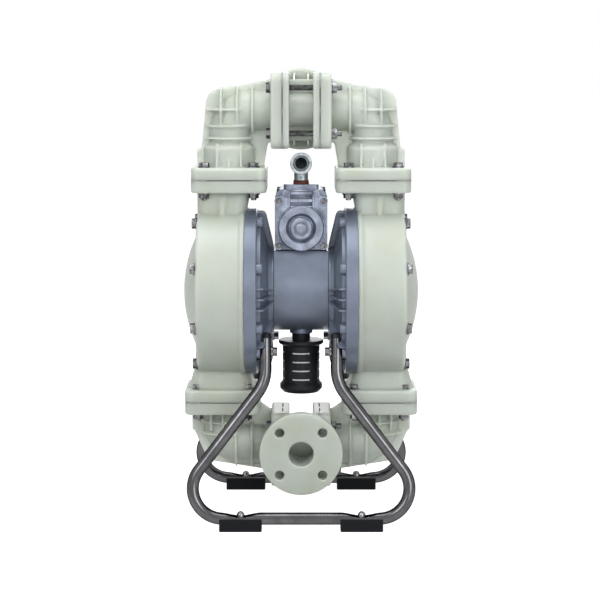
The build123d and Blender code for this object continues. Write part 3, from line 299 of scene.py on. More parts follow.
POLYPROPYLENE = Finish(
    "natural polypropylene", "white_plastic", (0.515, 0.562, 0.520), (0.480, 0.515, 0.445),
    roughness=0.38, patch_scale=11.0, grain_scale=420.0, grain_depth=0.0002,
    subsurface=1.0, subsurface_depth=0.035)
GREY_PAINT = Finish(
    "grey paint on castings", "grey_paint", (0.150, 0.178, 0.236), (0.122, 0.146, 0.198),
    roughness=0.33, metallic=0.35, patch_scale=18.0, grain_scale=700.0, grain_depth=0.0003,
    coat=0.15)
# The dark second colour, laid in large random patches, is painted shade: it gives the casting the
# contrast of shaded parts.
DIE_CASTING = Finish(
    "bead blasted die casting", "valve_alloy", (0.31, 0.345, 0.435), (0.13, 0.146, 0.185),
    roughness=0.25, metallic=0.65, patch_scale=38.0, grain_scale=1100.0, grain_depth=0.0004,
    edge_tint=0.6)
# The base colour and edge tint are kept far darker than polished steel, so that the tube's
# reflections come out dark: painted reflection.
STAND_TUBE = Finish(
    "polished tube", "tube_steel", (0.115, 0.115, 0.12), (0.075, 0.075, 0.08),
    roughness=0.13, spread=0.10, metallic=1.0, patch_scale=26.0, grain_depth=0.00005,
    edge_tint=0.15)
# The dark base colour, its near-black patches and the low edge tint stand in for black reflections
# on the heads: painted reflection.
BOLT_STEEL = Finish(
    "stainless bolts", "bolt_steel", (0.28, 0.28, 0.29), (0.08, 0.08, 0.085),
    roughness=0.16, spread=0.14, metallic=1.0, patch_scale=110.0, grain_depth=0.00005,
    edge_tint=0.2)
ROD_STEEL = Finish(
    "ground steel", "rod_steel", (0.60, 0.60, 0.60), (0.55, 0.55, 0.55),
    roughness=0.22, metallic=1.0, patch_scale=40.0, grain_depth=0.00005)
ZINC = Finish(
    "galvanised iron", "zinc_iron", (0.40, 0.44, 0.46), (0.22, 0.25, 0.27),
    roughness=0.28, spread=0.25, metallic=0.9, patch_scale=120.0, grain_scale=500.0,
    grain_depth=0.0004, edge_tint=0.5)
RUBBER = Finish(
    "black rubber", "black_rubber", (0.007, 0.0075, 0.009), (0.010, 0.011, 0.013),
    roughness=0.6, grain_scale=800.0, grain_depth=0.0002, specular=0.10)
SEAL_RUBBER = Finish(
    "seal rubber", "seal_rubber", (0.02, 0.02, 0.02), (0.03, 0.03, 0.03), roughness=0.5)
BLACK_PLASTIC = Finish(
    "black plastic", "black_plastic", (0.009, 0.010, 0.013), (0.016, 0.017, 0.021),
    roughness=0.36, grain_scale=600.0, grain_depth=0.0002, specular=0.18)
POROUS = Finish(
    "porous element", "porous_plastic", (0.80, 0.81, 0.80), (0.68, 0.69, 0.68),
    roughness=0.8, patch_scale=60.0, grain_scale=500.0, grain_depth=0.0008)
BRONZE = Finish(
    "bearing bronze", "bearing_bronze", (0.50, 0.34, 0.17), (0.42, 0.28, 0.14),
    roughness=0.3, metallic=1.0)
DISC_ALLOY = Finish(
    "machined alloy", "disc_alloy", (0.55, 0.56, 0.58), (0.48, 0.49, 0.51),
    roughness=0.3, metallic=1.0)
SEALANT = Finish(
    "thread sealant", "red_sealant", (0.11, 0.026, 0.016), (0.045, 0.014, 0.010),
    roughness=0.55, patch_scale=160.0, grain_scale=300.0, grain_depth=0.001, specular=0.25)
FINISHES = {f.slot: f for f in (
    POLYPROPYLENE, GREY_PAINT, DIE_CASTING, STAND_TUBE, BOLT_STEEL, ROD_STEEL, ZINC, RUBBER,
    SEAL_RUBBER, BLACK_PLASTIC, POROUS, BRONZE, DISC_ALLOY, SEALANT)}


# Mesh making


def frame_at(origin: Sequence[float], z_axis: Sequence[float],
             x_axis: Sequence[float]) -> Matrix:
    """Make a local frame.

    Args:
        origin: Its origin.
        z_axis: The direction of its Z axis.
        x_axis: The direction of its X axis.

    Returns:
        The matrix from local to pump coordinates.
    """
    z, x = Vector(z_axis).normalized(), Vector(x_axis).normalized()
    y = z.cross(x)
    made = Matrix((x, y, z)).transposed().to_4x4()
    made.translation = Vector(origin)
    return made


def along_x(x: float = 0.0, y: float = 0.0, z: float = 0.0) -> Matrix:
    """Return a frame with its Z axis along X and its X axis along Y."""
    return frame_at((x, y, z), (1, 0, 0), (0, 1, 0))


def to_front(y: float = 0.0, z: float = 0.0) -> Matrix:
    """Return a frame with its Z axis towards -Y and its X axis along X."""
    return frame_at((0, y, z), (0, -1, 0), (1, 0, 0))


def add_object(name: str, data: bpy.types.ID, place: Triple = (0.0, 0.0, 0.0)) -> bpy.types.Object:
    """Link a new object to the scene, in metres.

    Args:
        name: Its name.
        data: Its mesh, camera or lamp.
        place: Where it stands.

    Returns:
        The object.
    """
    made = bpy.data.objects.new(name, data)
    made.location = place
    bpy.context.scene.collection.objects.link(made)
    return made


def baked(thing: bpy.types.Object) -> bpy.types.Mesh:
    """Return a plain mesh of an object as its modifiers leave it.

    Args:
        thing: The object.

    Returns:
        The mesh.
    """
    graph = bpy.context.evaluated_depsgraph_get()
    graph.update()
    return bpy.data.meshes.new_from_object(thing.evaluated_get(graph))


def rounded_path(points: Sequence[Sequence[float]], radii: Sequence[float],
                 step: float = 6.0, closed: bool = False) -> list[Vector]:
    """Round the corners of a path.

    Args:
        points: The corners.
        radii: One radius for each corner that turns.
        step: The largest turn between two points of an arc, in degrees.
        closed: Whether the last point joins the first.

    Returns:
        The points of the rounded path.
    """
    pts = [Vector(p) for p in points]
    count = len(pts)
    corners = range(count) if closed else range(1, count - 1)
    radius_of = dict(zip(corners, radii))
    made: list[Vector] = []
    for i, p in enumerate(pts):
        radius = radius_of.get(i, 0.0)
        if radius <= 0:
            made.append(p)
            continue
        before = (pts[i - 1] - p).normalized()
        after = (pts[(i + 1) % count] - p).normalized()
        half = before.angle(after) / 2
        reach = radius / math.tan(half)
        centre = p + (before + after).normalized() * (radius / math.sin(half))
        start, end = p + before * reach - centre, p + after * reach - centre
        turn = start.angle(end)
        steps = max(2, math.ceil(math.degrees(turn) / step))
        for k in range(steps + 1):
            turned = start.to_3d().slerp(end.to_3d(), k / steps) * radius
            made.append(centre + (turned if len(p) == 3 else turned.to_2d()))
    return made


def flat(points: Iterable[Vector]) -> list[Pair]:
    """Return the first two coordinates of each point."""
    return [(p[0], p[1]) for p in points]


def circle(radius: float, centre: Pair = (0.0, 0.0), steps: int = 48) -> list[Pair]:
    """Points of a circle."""
    return [(centre[0] + radius * math.cos(2 * math.pi * k / steps),
             centre[1] + radius * math.sin(2 * math.pi * k / steps)) for k in range(steps)]


def rounded_rectangle(width: float, height: float, radius: float,
                      centre: Pair = (0.0, 0.0), step: float = 10.0) -> list[Pair]:
    """Points of a rectangle with round corners.

    Args:
        width: Its width.
        height: Its height.
        radius: The radius of its corners.
        centre: Its centre.
        step: The largest turn between two points, in degrees.

    Returns:
        The outline.
    """
    corners = [(centre[0] + i * width / 2, centre[1] + j * height / 2)
               for i, j in ((1, 1), (-1, 1), (-1, -1), (1, -1))]
    return flat(rounded_path(corners, [radius] * 4, step, closed=True))


class Former:
    """Collects closed solids, in millimetres, in one mesh."""

    def __init__(self) -> None:
        """Start with an empty mesh."""
        self.bm = bmesh.new()

    def _skin(self, rings: list[list[Vector]], wrap: bool, capped: bool) -> None:
        """Join rings of equal length into a skin.

        Args:
            rings: Points of each ring, in pump coordinates.
            wrap: Whether the last ring joins the first.
            capped: Whether the first and last ring get a face.
        """
        verts = [[self.bm.verts.new(p) for p in ring] for ring in rings]
        count = len(rings[0])
        pairs = list(zip(verts, verts[1:])) + ([(verts[-1], verts[0])] if wrap else [])
        faces = []
        for low, high in pairs:
            for k in range(count):
                n = (k + 1) % count
                faces.append(self.bm.faces.new((low[k], low[n], high[n], high[k])))
        if capped:
            faces.append(self.bm.faces.new(list(reversed(verts[0]))))
            faces.append(self.bm.faces.new(verts[-1]))
        bmesh.ops.recalc_face_normals(self.bm, faces=faces)

    def lathe(self, profile: Sequence[Pair], frame: Matrix = UPRIGHT, steps: int = 96) -> None:
        """Turn a closed profile about the frame's Z axis.

        Args:
            profile: Pairs of radius and height. A radius of zero lies on the axis.
            frame: The local frame.
            steps: Segments round the axis.
        """
        tiny = 1e-6
        verts: list[list] = []
        for radius, height in profile:
            if radius < tiny:
                verts.append([self.bm.verts.new(frame @ Vector((0, 0, height)))])
            else:
                verts.append([self.bm.verts.new(frame @ Vector((*p, height)))
                              for p in circle(radius, steps=steps)])
        faces = []
        for low, high in zip(verts, verts[1:] + verts[:1]):
            if len(low) == 1 and len(high) == 1:
                continue
            for k in range(steps):
                n = (k + 1) % steps
                ring = [low[k % len(low)], low[n % len(low)], high[n % len(high)],
                        high[k % len(high)]]
                corners = list(dict.fromkeys(ring))
                faces.append(self.bm.faces.new(corners))
        bmesh.ops.recalc_face_normals(self.bm, faces=faces)

    def rod(self, radius: float, low: float, high: float, frame: Matrix = UPRIGHT,
            steps: int = 72) -> None:
        """Add a plain cylinder.

        Args:
            radius: Its radius.
            low: The height of its lower end.
            high: The height of its upper end.
            frame: The local frame.
            steps: Segments round the axis.
        """
        self.lathe([(0, low), (radius, low), (radius, high), (0, high)], frame, steps)

    def sweep(self, path: Sequence[Vector], radius: float, steps: int = 40,
              squeeze: Callable[[Vector, Vector], Vector] | None = None,
              bore: float = 0.0) -> None:
        """Run a round section along a path.

        Args:
            path: The points of the path.
            radius: The section's radius.
            steps: Segments round the section.
            squeeze: Moves a point of the skin, given the path point it belongs to.
            bore: The radius of a hole all along, or 0 for none.
        """
        pts = [Vector(p) for p in path]
        along = [(pts[min(i + 1, len(pts) - 1)] - pts[max(i - 1, 0)]).normalized()
                 for i in range(len(pts))]
        side = along[0].orthogonal().normalized()
        rings, inner = [], []
        for p, t in zip(pts, along):
            side = (side - t * side.dot(t)).normalized()
            other = t.cross(side)
            ring = [p + side * a + other * b for a, b in circle(radius, steps=steps)]
            rings.append([squeeze(q, p) if squeeze else q for q in ring])
            inner.append([p + (q - p) * (bore / radius) for q in ring])
        if bore:
            self._skin(rings + inner[::-1], wrap=True, capped=False)
        else:
            self._skin(rings, wrap=False, capped=True)

    def loft(self, low: Sequence[Sequence[float]], high: Sequence[Sequence[float]]) -> None:
        """Join two rings of as many points into a closed solid."""
        self._skin([[Vector(p) for p in low], [Vector(p) for p in high]], False, True)

    def prism(self, outline: Sequence[Pair], low: float, high: float,
              frame: Matrix = UPRIGHT, edge: float = 0.0,
              holes: Iterable[Sequence[Pair]] = ()) -> None:
        """Raise a flat outline along the frame's Z axis.

        Args:
            outline: The outer outline.
            low: The height of the lower face.
            high: The height of the upper face.
            frame: The local frame.
            edge: The width of the chamfer along both faces.
            holes: Outlines of holes.
        """
        curve = bpy.data.curves.new("outline", "CURVE")
        curve.dimensions = "2D"
        curve.fill_mode = "BOTH"
        curve.extrude = max((high - low) / 2 - edge, 0.0)
        curve.bevel_depth = edge
        curve.bevel_resolution = 1
        curve.offset = -edge
        for ring in (outline, *holes):
            spline = curve.splines.new("POLY")
            spline.points.add(len(ring) - 1)
            for point, (x, y) in zip(spline.points, ring):
                point.co = (x, y, 0.0, 1.0)
            spline.use_cyclic_u = True
        holder = bpy.data.objects.new("outline", curve)
        mesh = bpy.data.meshes.new_from_object(holder)
        mesh.transform(frame @ Matrix.Translation((0, 0, (low + high) / 2)))
        patch = bmesh.new()
        patch.from_mesh(mesh)
        bmesh.ops.remove_doubles(patch, verts=patch.verts, dist=1e-4)
        bmesh.ops.recalc_face_normals(patch, faces=patch.faces)
        patch.to_mesh(mesh)
        patch.free()
        self.bm.from_mesh(mesh)
        bpy.data.objects.remove(holder)
        bpy.data.curves.remove(curve)
        bpy.data.meshes.remove(mesh)

    def turn_to(self, side: Side) -> None:
        """Mirror everything about the plane X 0 where the side is the left one.

        Args:
            side: The side that the mesh belongs to.
        """
        if side is Side.RIGHT:
            return
        for vert in self.bm.verts:
            vert.co.x = -vert.co.x
        bmesh.ops.reverse_faces(self.bm, faces=self.bm.faces)

    def piece(self, name: str, finish: Finish, bevel: float = 0.0) -> bpy.types.Object:
        """Finish the mesh as an object in metres, at the origin.

        Args:
            name: The piece's name.
            finish: Its finish.
            bevel: The width of the rounding on sharp edges, in millimetres.

        Returns:
            The object, linked to the scene.
        """
        self.bm.normal_update()
        limit = math.radians(SMOOTH_TURN)
        for edge in self.bm.edges:
            edge.smooth = len(edge.link_faces) == 2 and edge.calc_face_angle(0.0) < limit
        for face in self.bm.faces:
            face.smooth = True
        bmesh.ops.scale(self.bm, vec=(MM, MM, MM), verts=self.bm.verts)
        mesh = bpy.data.meshes.new(name)
        self.bm.to_mesh(mesh)
        self.bm.free()
        made = finish.dress(add_object(name, mesh))
        if bevel:
            rounding = made.modifiers.new("rounding", "BEVEL")
            rounding.width, rounding.segments = bevel * MM, 2
            rounding.limit_method = "ANGLE"
            rounding.angle_limit = math.radians(BEVEL_TURN)
        return made

    def place(self, name: str, finish: Finish, *nodes: str, bevel: float = 0.0,
              body: str = ROOT) -> bpy.types.Object:
        """Finish the mesh as a piece that rides on a body.

        Args:
            name: The piece's name.
            finish: Its finish.
            *nodes: The CAD nodes that it stands for.
            bevel: The width of the rounding on sharp edges, in millimetres.
            body: The CAD body that it moves with.

        Returns:
            The piece.
        """
        return settle(self.piece(name, finish, bevel), finish, *nodes, body=body)


def settle(piece: bpy.types.Object, finish: Finish, *nodes: str,
           body: str = ROOT) -> bpy.types.Object:
    """Ride a piece on its body and let it stand for CAD nodes.

    Args:
        piece: The finished piece.
        finish: Its finish. Not used.
        *nodes: The CAD nodes that it stands for.
        body: The CAD body that it moves with.

    Returns:
        The piece.
    """
    if nodes:
        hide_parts(*nodes)
    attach(piece, body)
    log.info("%s, %d vertices, rides on %s", piece.name, len(piece.data.vertices), body)
    return piece


def carve(piece: bpy.types.Object, cutter: Former, finish: Finish, solver: str = "EXACT",
          turn: float = SMOOTH_TURN) -> None:
    """Cut the cutter's solids out of a piece, and leave a plain mesh.

    Args:
        piece: The piece to cut.
        cutter: Closed solids, in millimetres.
        finish: The finish of the piece.
        solver: EXACT for overlapping solids, MANIFOLD for one clean skin.
        turn: Edges that turn by more than this angle stay sharp.
    """
    tool = cutter.piece(piece.name + "_cutter", finish)
    cut = piece.modifiers.new("cut", "BOOLEAN")
    cut.object, cut.solver, cut.use_self = tool, solver, solver == "EXACT"
    plain = baked(piece)
    plain.set_sharp_from_angle(angle=math.radians(turn))
    piece.modifiers.clear()
    piece.data = plain
    bpy.data.objects.remove(tool)
    finish.dress(piece)


def mould(soft: Former, cutter: Former, name: str, node: str, voxel: float,
          planes: Sequence[tuple[Triple, Triple]]) -> None:
    """Blend overlapping solids into one moulded skin with soft roots, and face its seams.

    Args:
        soft: Closed solids that become one skin.
        cutter: Closed solids that are cut out of it.
        name: The piece's name.
        node: The CAD node that it stands for.
        voxel: The cell size of the skin, in millimetres.
        planes: A point and a normal for each seam. What lies beyond it is cut off.
    """
    blank = soft.piece(name, POLYPROPYLENE)
    skin = blank.modifiers.new("skin", "REMESH")
    skin.mode, skin.voxel_size, skin.use_smooth_shade = "VOXEL", voxel * MM, True
    melt = blank.modifiers.new("melt", "SMOOTH")
    melt.factor, melt.iterations = MELT_SHARE, MELT_PASSES
    thin = blank.modifiers.new("thin", "DECIMATE")
    thin.ratio = THIN_SHARE
    plain = baked(blank)
    blank.modifiers.clear()
    shell = bmesh.new()
    shell.from_mesh(plain)
    for point, normal in planes:
        cut = bmesh.ops.bisect_plane(
            shell, geom=[*shell.verts, *shell.edges, *shell.faces], dist=1e-7,
            plane_co=Vector(point) * MM, plane_no=normal, clear_outer=True)
        rim = [part for part in cut["geom_cut"] if isinstance(part, bmesh.types.BMEdge)]
        bmesh.ops.edgeloop_fill(shell, edges=rim)
    shell.to_mesh(plain)
    shell.free()
    blank.data = plain
    carve(blank, cutter, POLYPROPYLENE, solver="MANIFOLD", turn=MOULD_TURN)
    settle(blank, POLYPROPYLENE, node)


# Repeated pieces by Geometry Nodes


class Repeater:
    """Places copies of a small piece on points that know which way they face."""

    TREE = "Copies on facing points"

    @classmethod
    def tree(cls) -> bpy.types.NodeTree:
        """Return the Geometry Nodes tree, built once.

        Returns:
            The node group.
        """
        if cls.TREE in bpy.data.node_groups:
            return bpy.data.node_groups[cls.TREE]
        bench = new_group(
            cls.TREE, "GeometryNodeTree",
            {"Geometry": ("NodeSocketGeometry", None), "Copy of": ("NodeSocketObject", None),
             "Finish": ("NodeSocketMaterial", None)},
            {"Geometry": "NodeSocketGeometry"})
        source = bench.add("NodeGroupInput")
        pattern = bench.add("GeometryNodeObjectInfo", {"Object": source.outputs["Copy of"]})
        facing, upward = (bench.add("GeometryNodeInputNamedAttribute", {"Name": label},
                                    data_type="FLOAT_VECTOR") for label in ("facing", "upward"))
        first = bench.add("FunctionNodeAlignRotationToVector", {
            "Vector": facing.outputs["Attribute"]}, axis="Z")
        second = bench.add("FunctionNodeAlignRotationToVector", {
            "Rotation": first.outputs["Rotation"], "Vector": upward.outputs["Attribute"]},
            axis="X", pivot_axis="Z")
        copies = bench.add("GeometryNodeInstanceOnPoints", {
            "Points": source.outputs["Geometry"], "Instance": pattern.outputs["Geometry"],
            "Rotation": second.outputs["Rotation"]})
        real = bench.add("GeometryNodeRealizeInstances", {
            "Geometry": copies.outputs["Instances"]})
        coloured = bench.add("GeometryNodeSetMaterial", {
            "Geometry": real.outputs["Geometry"], "Material": source.outputs["Finish"]})
        bench.add("NodeGroupOutput", {"Geometry": coloured.outputs["Geometry"]})
        return bench.tree

    @classmethod
    def spread(cls, name: str, pattern: Former, finish: Finish,
               spots: Sequence[Spot]) -> bpy.types.Object:
        """Copy a pattern to every spot.

        Args:
            name: The new piece's name.
            pattern: The small piece, with its Z axis outwards, in millimetres.
            finish: The finish of every copy.
            spots: The place, the facing direction and the upward direction of each copy.

        Returns:
            One plain mesh object with all copies.
        """
        small = pattern.piece(name + "_pattern", finish)
        mesh = bpy.data.meshes.new(name + "_points")
        mesh.from_pydata([Vector(s[0]) * MM for s in spots], [], [])
        for label, index in (("facing", 1), ("upward", 2)):
            values = mesh.attributes.new(label, "FLOAT_VECTOR", "POINT")
            for item, spot in zip(values.data, spots):
                item.vector = spot[index]
        carrier = add_object(name + "_points", mesh)
        tree = cls.tree()
        modifier = carrier.modifiers.new("copies", "NODES")
        modifier.node_group = tree
        wanted = {"Copy of": small, "Finish": finish.material()}
        for item in tree.interface.items_tree:
            if item.in_out == "INPUT" and item.name in wanted:
                modifier[item.identifier] = wanted[item.name]
        made = add_object(name, baked(carrier))
        bpy.data.objects.remove(carrier)
        bpy.data.objects.remove(small)
        return finish.dress(made)


# Liquid chambers and manifolds


@dataclass(frozen=True)
class Layout:
    """Places that more than one sub-assembly uses."""

    axis_z: float = 450.0
    joint_x: float = 112.0
    rim_back_x: float = 87.0
    shoulder_x: float = 207.0
    upper_neck_x: float = 143.0
    lower_neck_x: float = 158.0
    upper_seam_z: float = 676.0
    lower_seam_z: float = 232.0
    discharge_z: float = 813.0
    suction_z: float = 135.0
    tee_half: float = 37.25
    elbow_plate: float = 22.7
    neck_plate: float = 25.0
    plate_width: float = 150.0
    joint_bolts: float = 98.0
    tie_bolts: float = 90.0
    chamber_bolt_circle: float = 152.0
    chamber_bolts: int = 8
    lug_y: float = 111.93
    lug_z: float = 341.91

    def bolt_turns(self) -> list[float]:
        """Return the angles of the chambers' bolts from the top, in degrees."""
        step = 360 / self.chamber_bolts
        return [step / 2 + k * step for k in range(self.chamber_bolts)]

    def on_bolt_circle(self, x: float, angle: float) -> Triple:
        """Return the place of a chamber bolt at X and an angle in degrees.

        Args:
            x: The place along the rod.
            angle: The angle from the top.

        Returns:
            The place.
        """
        turn = math.radians(angle)
        return (x, self.chamber_bolt_circle * math.sin(turn),
                self.axis_z + self.chamber_bolt_circle * math.cos(turn))


LAYOUT = Layout()


@dataclass
class SeamPlate:
    """A square flange plate with slits in its seam face."""

    thickness: float
    bridge: float = 0.0
    width: float = LAYOUT.plate_width
    corner: float = 17.0
    edge: float = 3.5
    spare: float = 7.0
    slit: float = 90.0
    slit_depth: float = 8.0
    slit_height: float = 1.2

    def slits(self) -> list[list[Pair]]:
        """Return the outlines of the slits along the four sides.

        Returns:
            The outlines.
        """
        half, reach = self.width / 2, self.slit / 2
        inner = half - self.slit_depth
        spans = [(-reach, -self.bridge / 2), (self.bridge / 2, reach)] if self.bridge else \
            [(-reach, reach)]
        made = []
        for quarter in range(4):
            turn = Matrix.Rotation(math.pi / 2 * quarter, 2)
            for low, high in spans:
                corners = [(inner, low), (half + 2, low), (half + 2, high), (inner, high)]
                made.append([tuple(turn @ Vector(p)) for p in corners])
        return made

    def add(self, former: Former, cutter: Former, frame: Matrix) -> None:
        """Add the plate with some spare stock beyond the seam on the frame's XY plane.

        Args:
            former: Where the plate goes.
            cutter: Where its slits go.
            frame: Its Z axis points away from the seam.
        """
        former.prism(rounded_rectangle(self.width, self.width, self.corner), -self.spare,
                     self.thickness, frame, edge=self.edge)
        for outline in self.slits():
            cutter.prism(outline, -2.0, self.slit_height, frame)


def joint_spots(spacing: float) -> list[Pair]:
    """Return the corners of a square bolt pattern."""
    half = spacing / 2
    return [(i * half, j * half) for i in (-1, 1) for j in (-1, 1)]


@dataclass
class LiquidChamber:
    """One white drum with its upper and lower neck."""

    side: Side
    drum_radius: float = 165.0
    rim_radius: float = 168.0
    dome_radius: float = 120.0
    dome_rise: float = 29.0
    neck_half: float = 50.0
    neck_sink: float = 45.0
    upper_root: Pair = (162.5, 89.0)
    upper_end: Pair = (154.0, 106.0)
    lower_root: Pair = (161.5, 89.0)
    lower_end: Pair = (160.0, 132.0)
    web_from: float = 151.5
    web_to: float = 161.5
    web_share: float = 0.7
    bulge_share: float = 0.95
    cell: float = 2.0

    def drum_profile(self) -> list[Pair]:
        """Return the drum's outline as pairs of radius and place along X.

        Returns:
            The outline.
        """
        place = LAYOUT
        sphere = (self.dome_radius**2 + self.dome_rise**2) / (2 * self.dome_rise)
        apex = place.shoulder_x + self.dome_rise
        reach = math.asin(self.dome_radius / sphere)
        dome = [(sphere * math.sin(reach * k / 12),
                 apex - sphere + sphere * math.cos(reach * k / 12)) for k in range(13)]
        rim = rounded_path(
            [(self.dome_radius, place.shoulder_x), (self.drum_radius, place.shoulder_x),
             (self.drum_radius, place.joint_x + 8), (self.rim_radius, place.joint_x + 8),
             (self.rim_radius, place.joint_x)], [7.0, 1.2, 1.2], step=15)
        return dome + flat(rim[1:]) + [(0.0, place.joint_x)]

    def neck(self, former: Former, low: tuple, high: tuple) -> None:
        """Add a neck between two rounded rectangles.

        Args:
            former: Where it goes.
            low: Centre X, width, depth and height Z of one end.
            high: The same for the other end.
        """
        former.loft(*([(px, py, z) for px, py in
                       rounded_rectangle(width, depth, 24, (x, 0), step=8)]
                      for x, width, depth, z in (low, high)))

    def build(self) -> None:
        """Build the chamber as one piece."""
        place, half = LAYOUT, self.neck_half
        former, slits = Former(), Former()
        former.lathe(self.drum_profile(), along_x(z=place.axis_z), steps=128)
        upper, lower = place.upper_seam_z - place.neck_plate, place.lower_seam_z + place.neck_plate
        sunk, wide = self.drum_radius - self.neck_sink, self.drum_radius * self.web_share
        self.neck(former, (*self.upper_root, 2 * half, place.axis_z + sunk),
                  (*self.upper_end, 2 * half + 4, upper))
        self.neck(former, (*self.lower_root, 2 * half, place.axis_z - sunk),
                  (*self.lower_end, 2 * half + 18, lower))
        for sign, top in ((1, upper), (-1, lower)):
            root = place.axis_z + sign * (math.sqrt(self.drum_radius**2 - wide**2) - 2)
            bulge = place.axis_z + sign * self.drum_radius * self.bulge_share
            outline = [(-wide, root), (wide, root), (half + 6, bulge), (half + 2, top),
                       (-half - 2, top), (-half - 6, bulge)]
            former.prism(outline, self.web_from, self.web_to, along_x(), edge=1.0)
        for x, seam, up in ((place.upper_neck_x, place.upper_seam_z, -1),
                            (place.lower_neck_x, place.lower_seam_z, 1)):
            SeamPlate(place.neck_plate).add(former, slits,
                                            frame_at((x, 0, seam), (0, 0, up), (1, 0, 0)))
        former.turn_to(self.side)
        slits.turn_to(self.side)
        hand = self.side.hand
        mould(former, slits, f"{hand}_liquid_housing", f"{hand}_liquid_chamber", self.cell,
              [((0, 0, place.upper_seam_z), (0, 0, 1)), ((0, 0, place.lower_seam_z), (0, 0, -1))])


def span(outline: Sequence[Pair], level: float, axis: int) -> Pair:
    """Return the lowest and highest crossing of an outline with a line.

    Args:
        outline: The closed outline.
        level: The value that the line keeps.
        axis: 0 where the line keeps X, 1 where it keeps Y.

    Returns:
        Both crossings, along the other axis.
    """
    found = []
    for a, b in zip(outline, [*outline[1:], outline[0]]):
        if (a[axis] - level) * (b[axis] - level) < 0:
            share = (level - a[axis]) / (b[axis] - a[axis])
            found.append(a[1 - axis] + share * (b[1 - axis] - a[1 - axis]))
    return min(found), max(found)


@dataclass
class Elbow:
    """A moulded elbow between a neck and a tee, with a web and ribs round its pipe.

    Local Z runs from the neck's seam towards the pipe, and X points outwards.
    """

    side: Side
    stage: Stage
    neck_x: float
    rise: float
    outline: list[Pair]
    corners: list[float]
    rib_levels: tuple[float, ...]
    rib_stations: tuple[float, ...]
    cage: float = 0.0
    pipe_radius: float = 33.0
    body: float = 39.0
    bend: float = 44.0
    rib_radius: float = 47.0
    rib: float = 4.0
    web: float = 7.0
    gusset_gap: float = 24.0
    gusset_foot: float = 65.0
    gusset_head: float = 41.0
    cell: float = 1.8

    def clipped_disc(self, centre: Pair, low: float, high: float) -> list[Pair]:
        """Return a disc's outline, cut flat outside low and high along its first axis."""
        return [(min(max(x, low), high), y) for x, y in circle(self.rib_radius, centre, 64)]

    def ribs(self, former: Former) -> None:
        """Add the half rings round the pipe and the gussets over the neck plate.

        Args:
            former: Where they go.
        """
        for level in self.rib_levels:
            low, high = span(self.outline, level + self.rib / 2, 1)
            former.prism(self.clipped_disc((self.neck_x, 0), low, high), level,
                         level + self.rib, edge=0.8)
        for station in self.rib_stations:
            low, high = span(self.outline, station + self.rib / 2, 0)
            former.prism(self.clipped_disc((self.rise, 0), low, high), station,
                         station + self.rib, frame_at((0, 0, 0), (1, 0, 0), (0, 0, 1)),
                         edge=0.8)
        top = self.cage + 10 if self.cage else self.rise - self.pipe_radius
        foot, head = self.gusset_foot, self.gusset_head
        for offset in (-self.gusset_gap, 0, self.gusset_gap):
            wall = [(-foot, 0), (foot, 0), (head, top), (-head, top)]
            x = self.neck_x + offset
            former.prism(wall, x - self.rib / 2, x + self.rib / 2, along_x(), edge=0.8)

    def build(self) -> None:
        """Build the elbow as one piece."""
        place, former, slits = LAYOUT, Former(), Former()
        run = rounded_path([(self.neck_x, 0, 2), (self.neck_x, 0, self.rise),
                            (place.tee_half + 2, 0, self.rise)], [self.bend])
        former.sweep(run, self.body, steps=64)
        web = flat(rounded_path(self.outline, self.corners, closed=True))
        former.prism(web, -self.web / 2, self.web / 2, to_front(), edge=1.2)
        if self.cage:
            former.lathe([(0, 4), (50, 4), (50, self.cage), (33, self.cage + 17),
                          (0, self.cage + 17)], Matrix.Translation((self.neck_x, 0, 0)), steps=72)
        self.ribs(former)
        SeamPlate(place.neck_plate).add(former, slits, Matrix.Translation((self.neck_x, 0, 0)))
        SeamPlate(place.elbow_plate, bridge=12.0).add(
            former, slits, along_x(place.tee_half, 0, self.rise))
        turn, seam = (1, place.upper_seam_z) if self.stage is Stage.DISCHARGE else \
            (-1, place.lower_seam_z)
        for part in (former, slits):
            for vert in part.bm.verts:
                vert.co.z = seam + turn * vert.co.z
            if turn < 0:
                bmesh.ops.reverse_faces(part.bm, faces=part.bm.faces)
            part.turn_to(self.side)
        hand, out, stage = self.side.hand, self.side.value, self.stage.value
        mould(former, slits, f"{hand}_{stage}_bend", f"{stage}_elbow_{hand}", self.cell,
              [((0, 0, seam), (0, 0, -turn)), ((out * place.tee_half, 0, 0), (-out, 0, 0))])


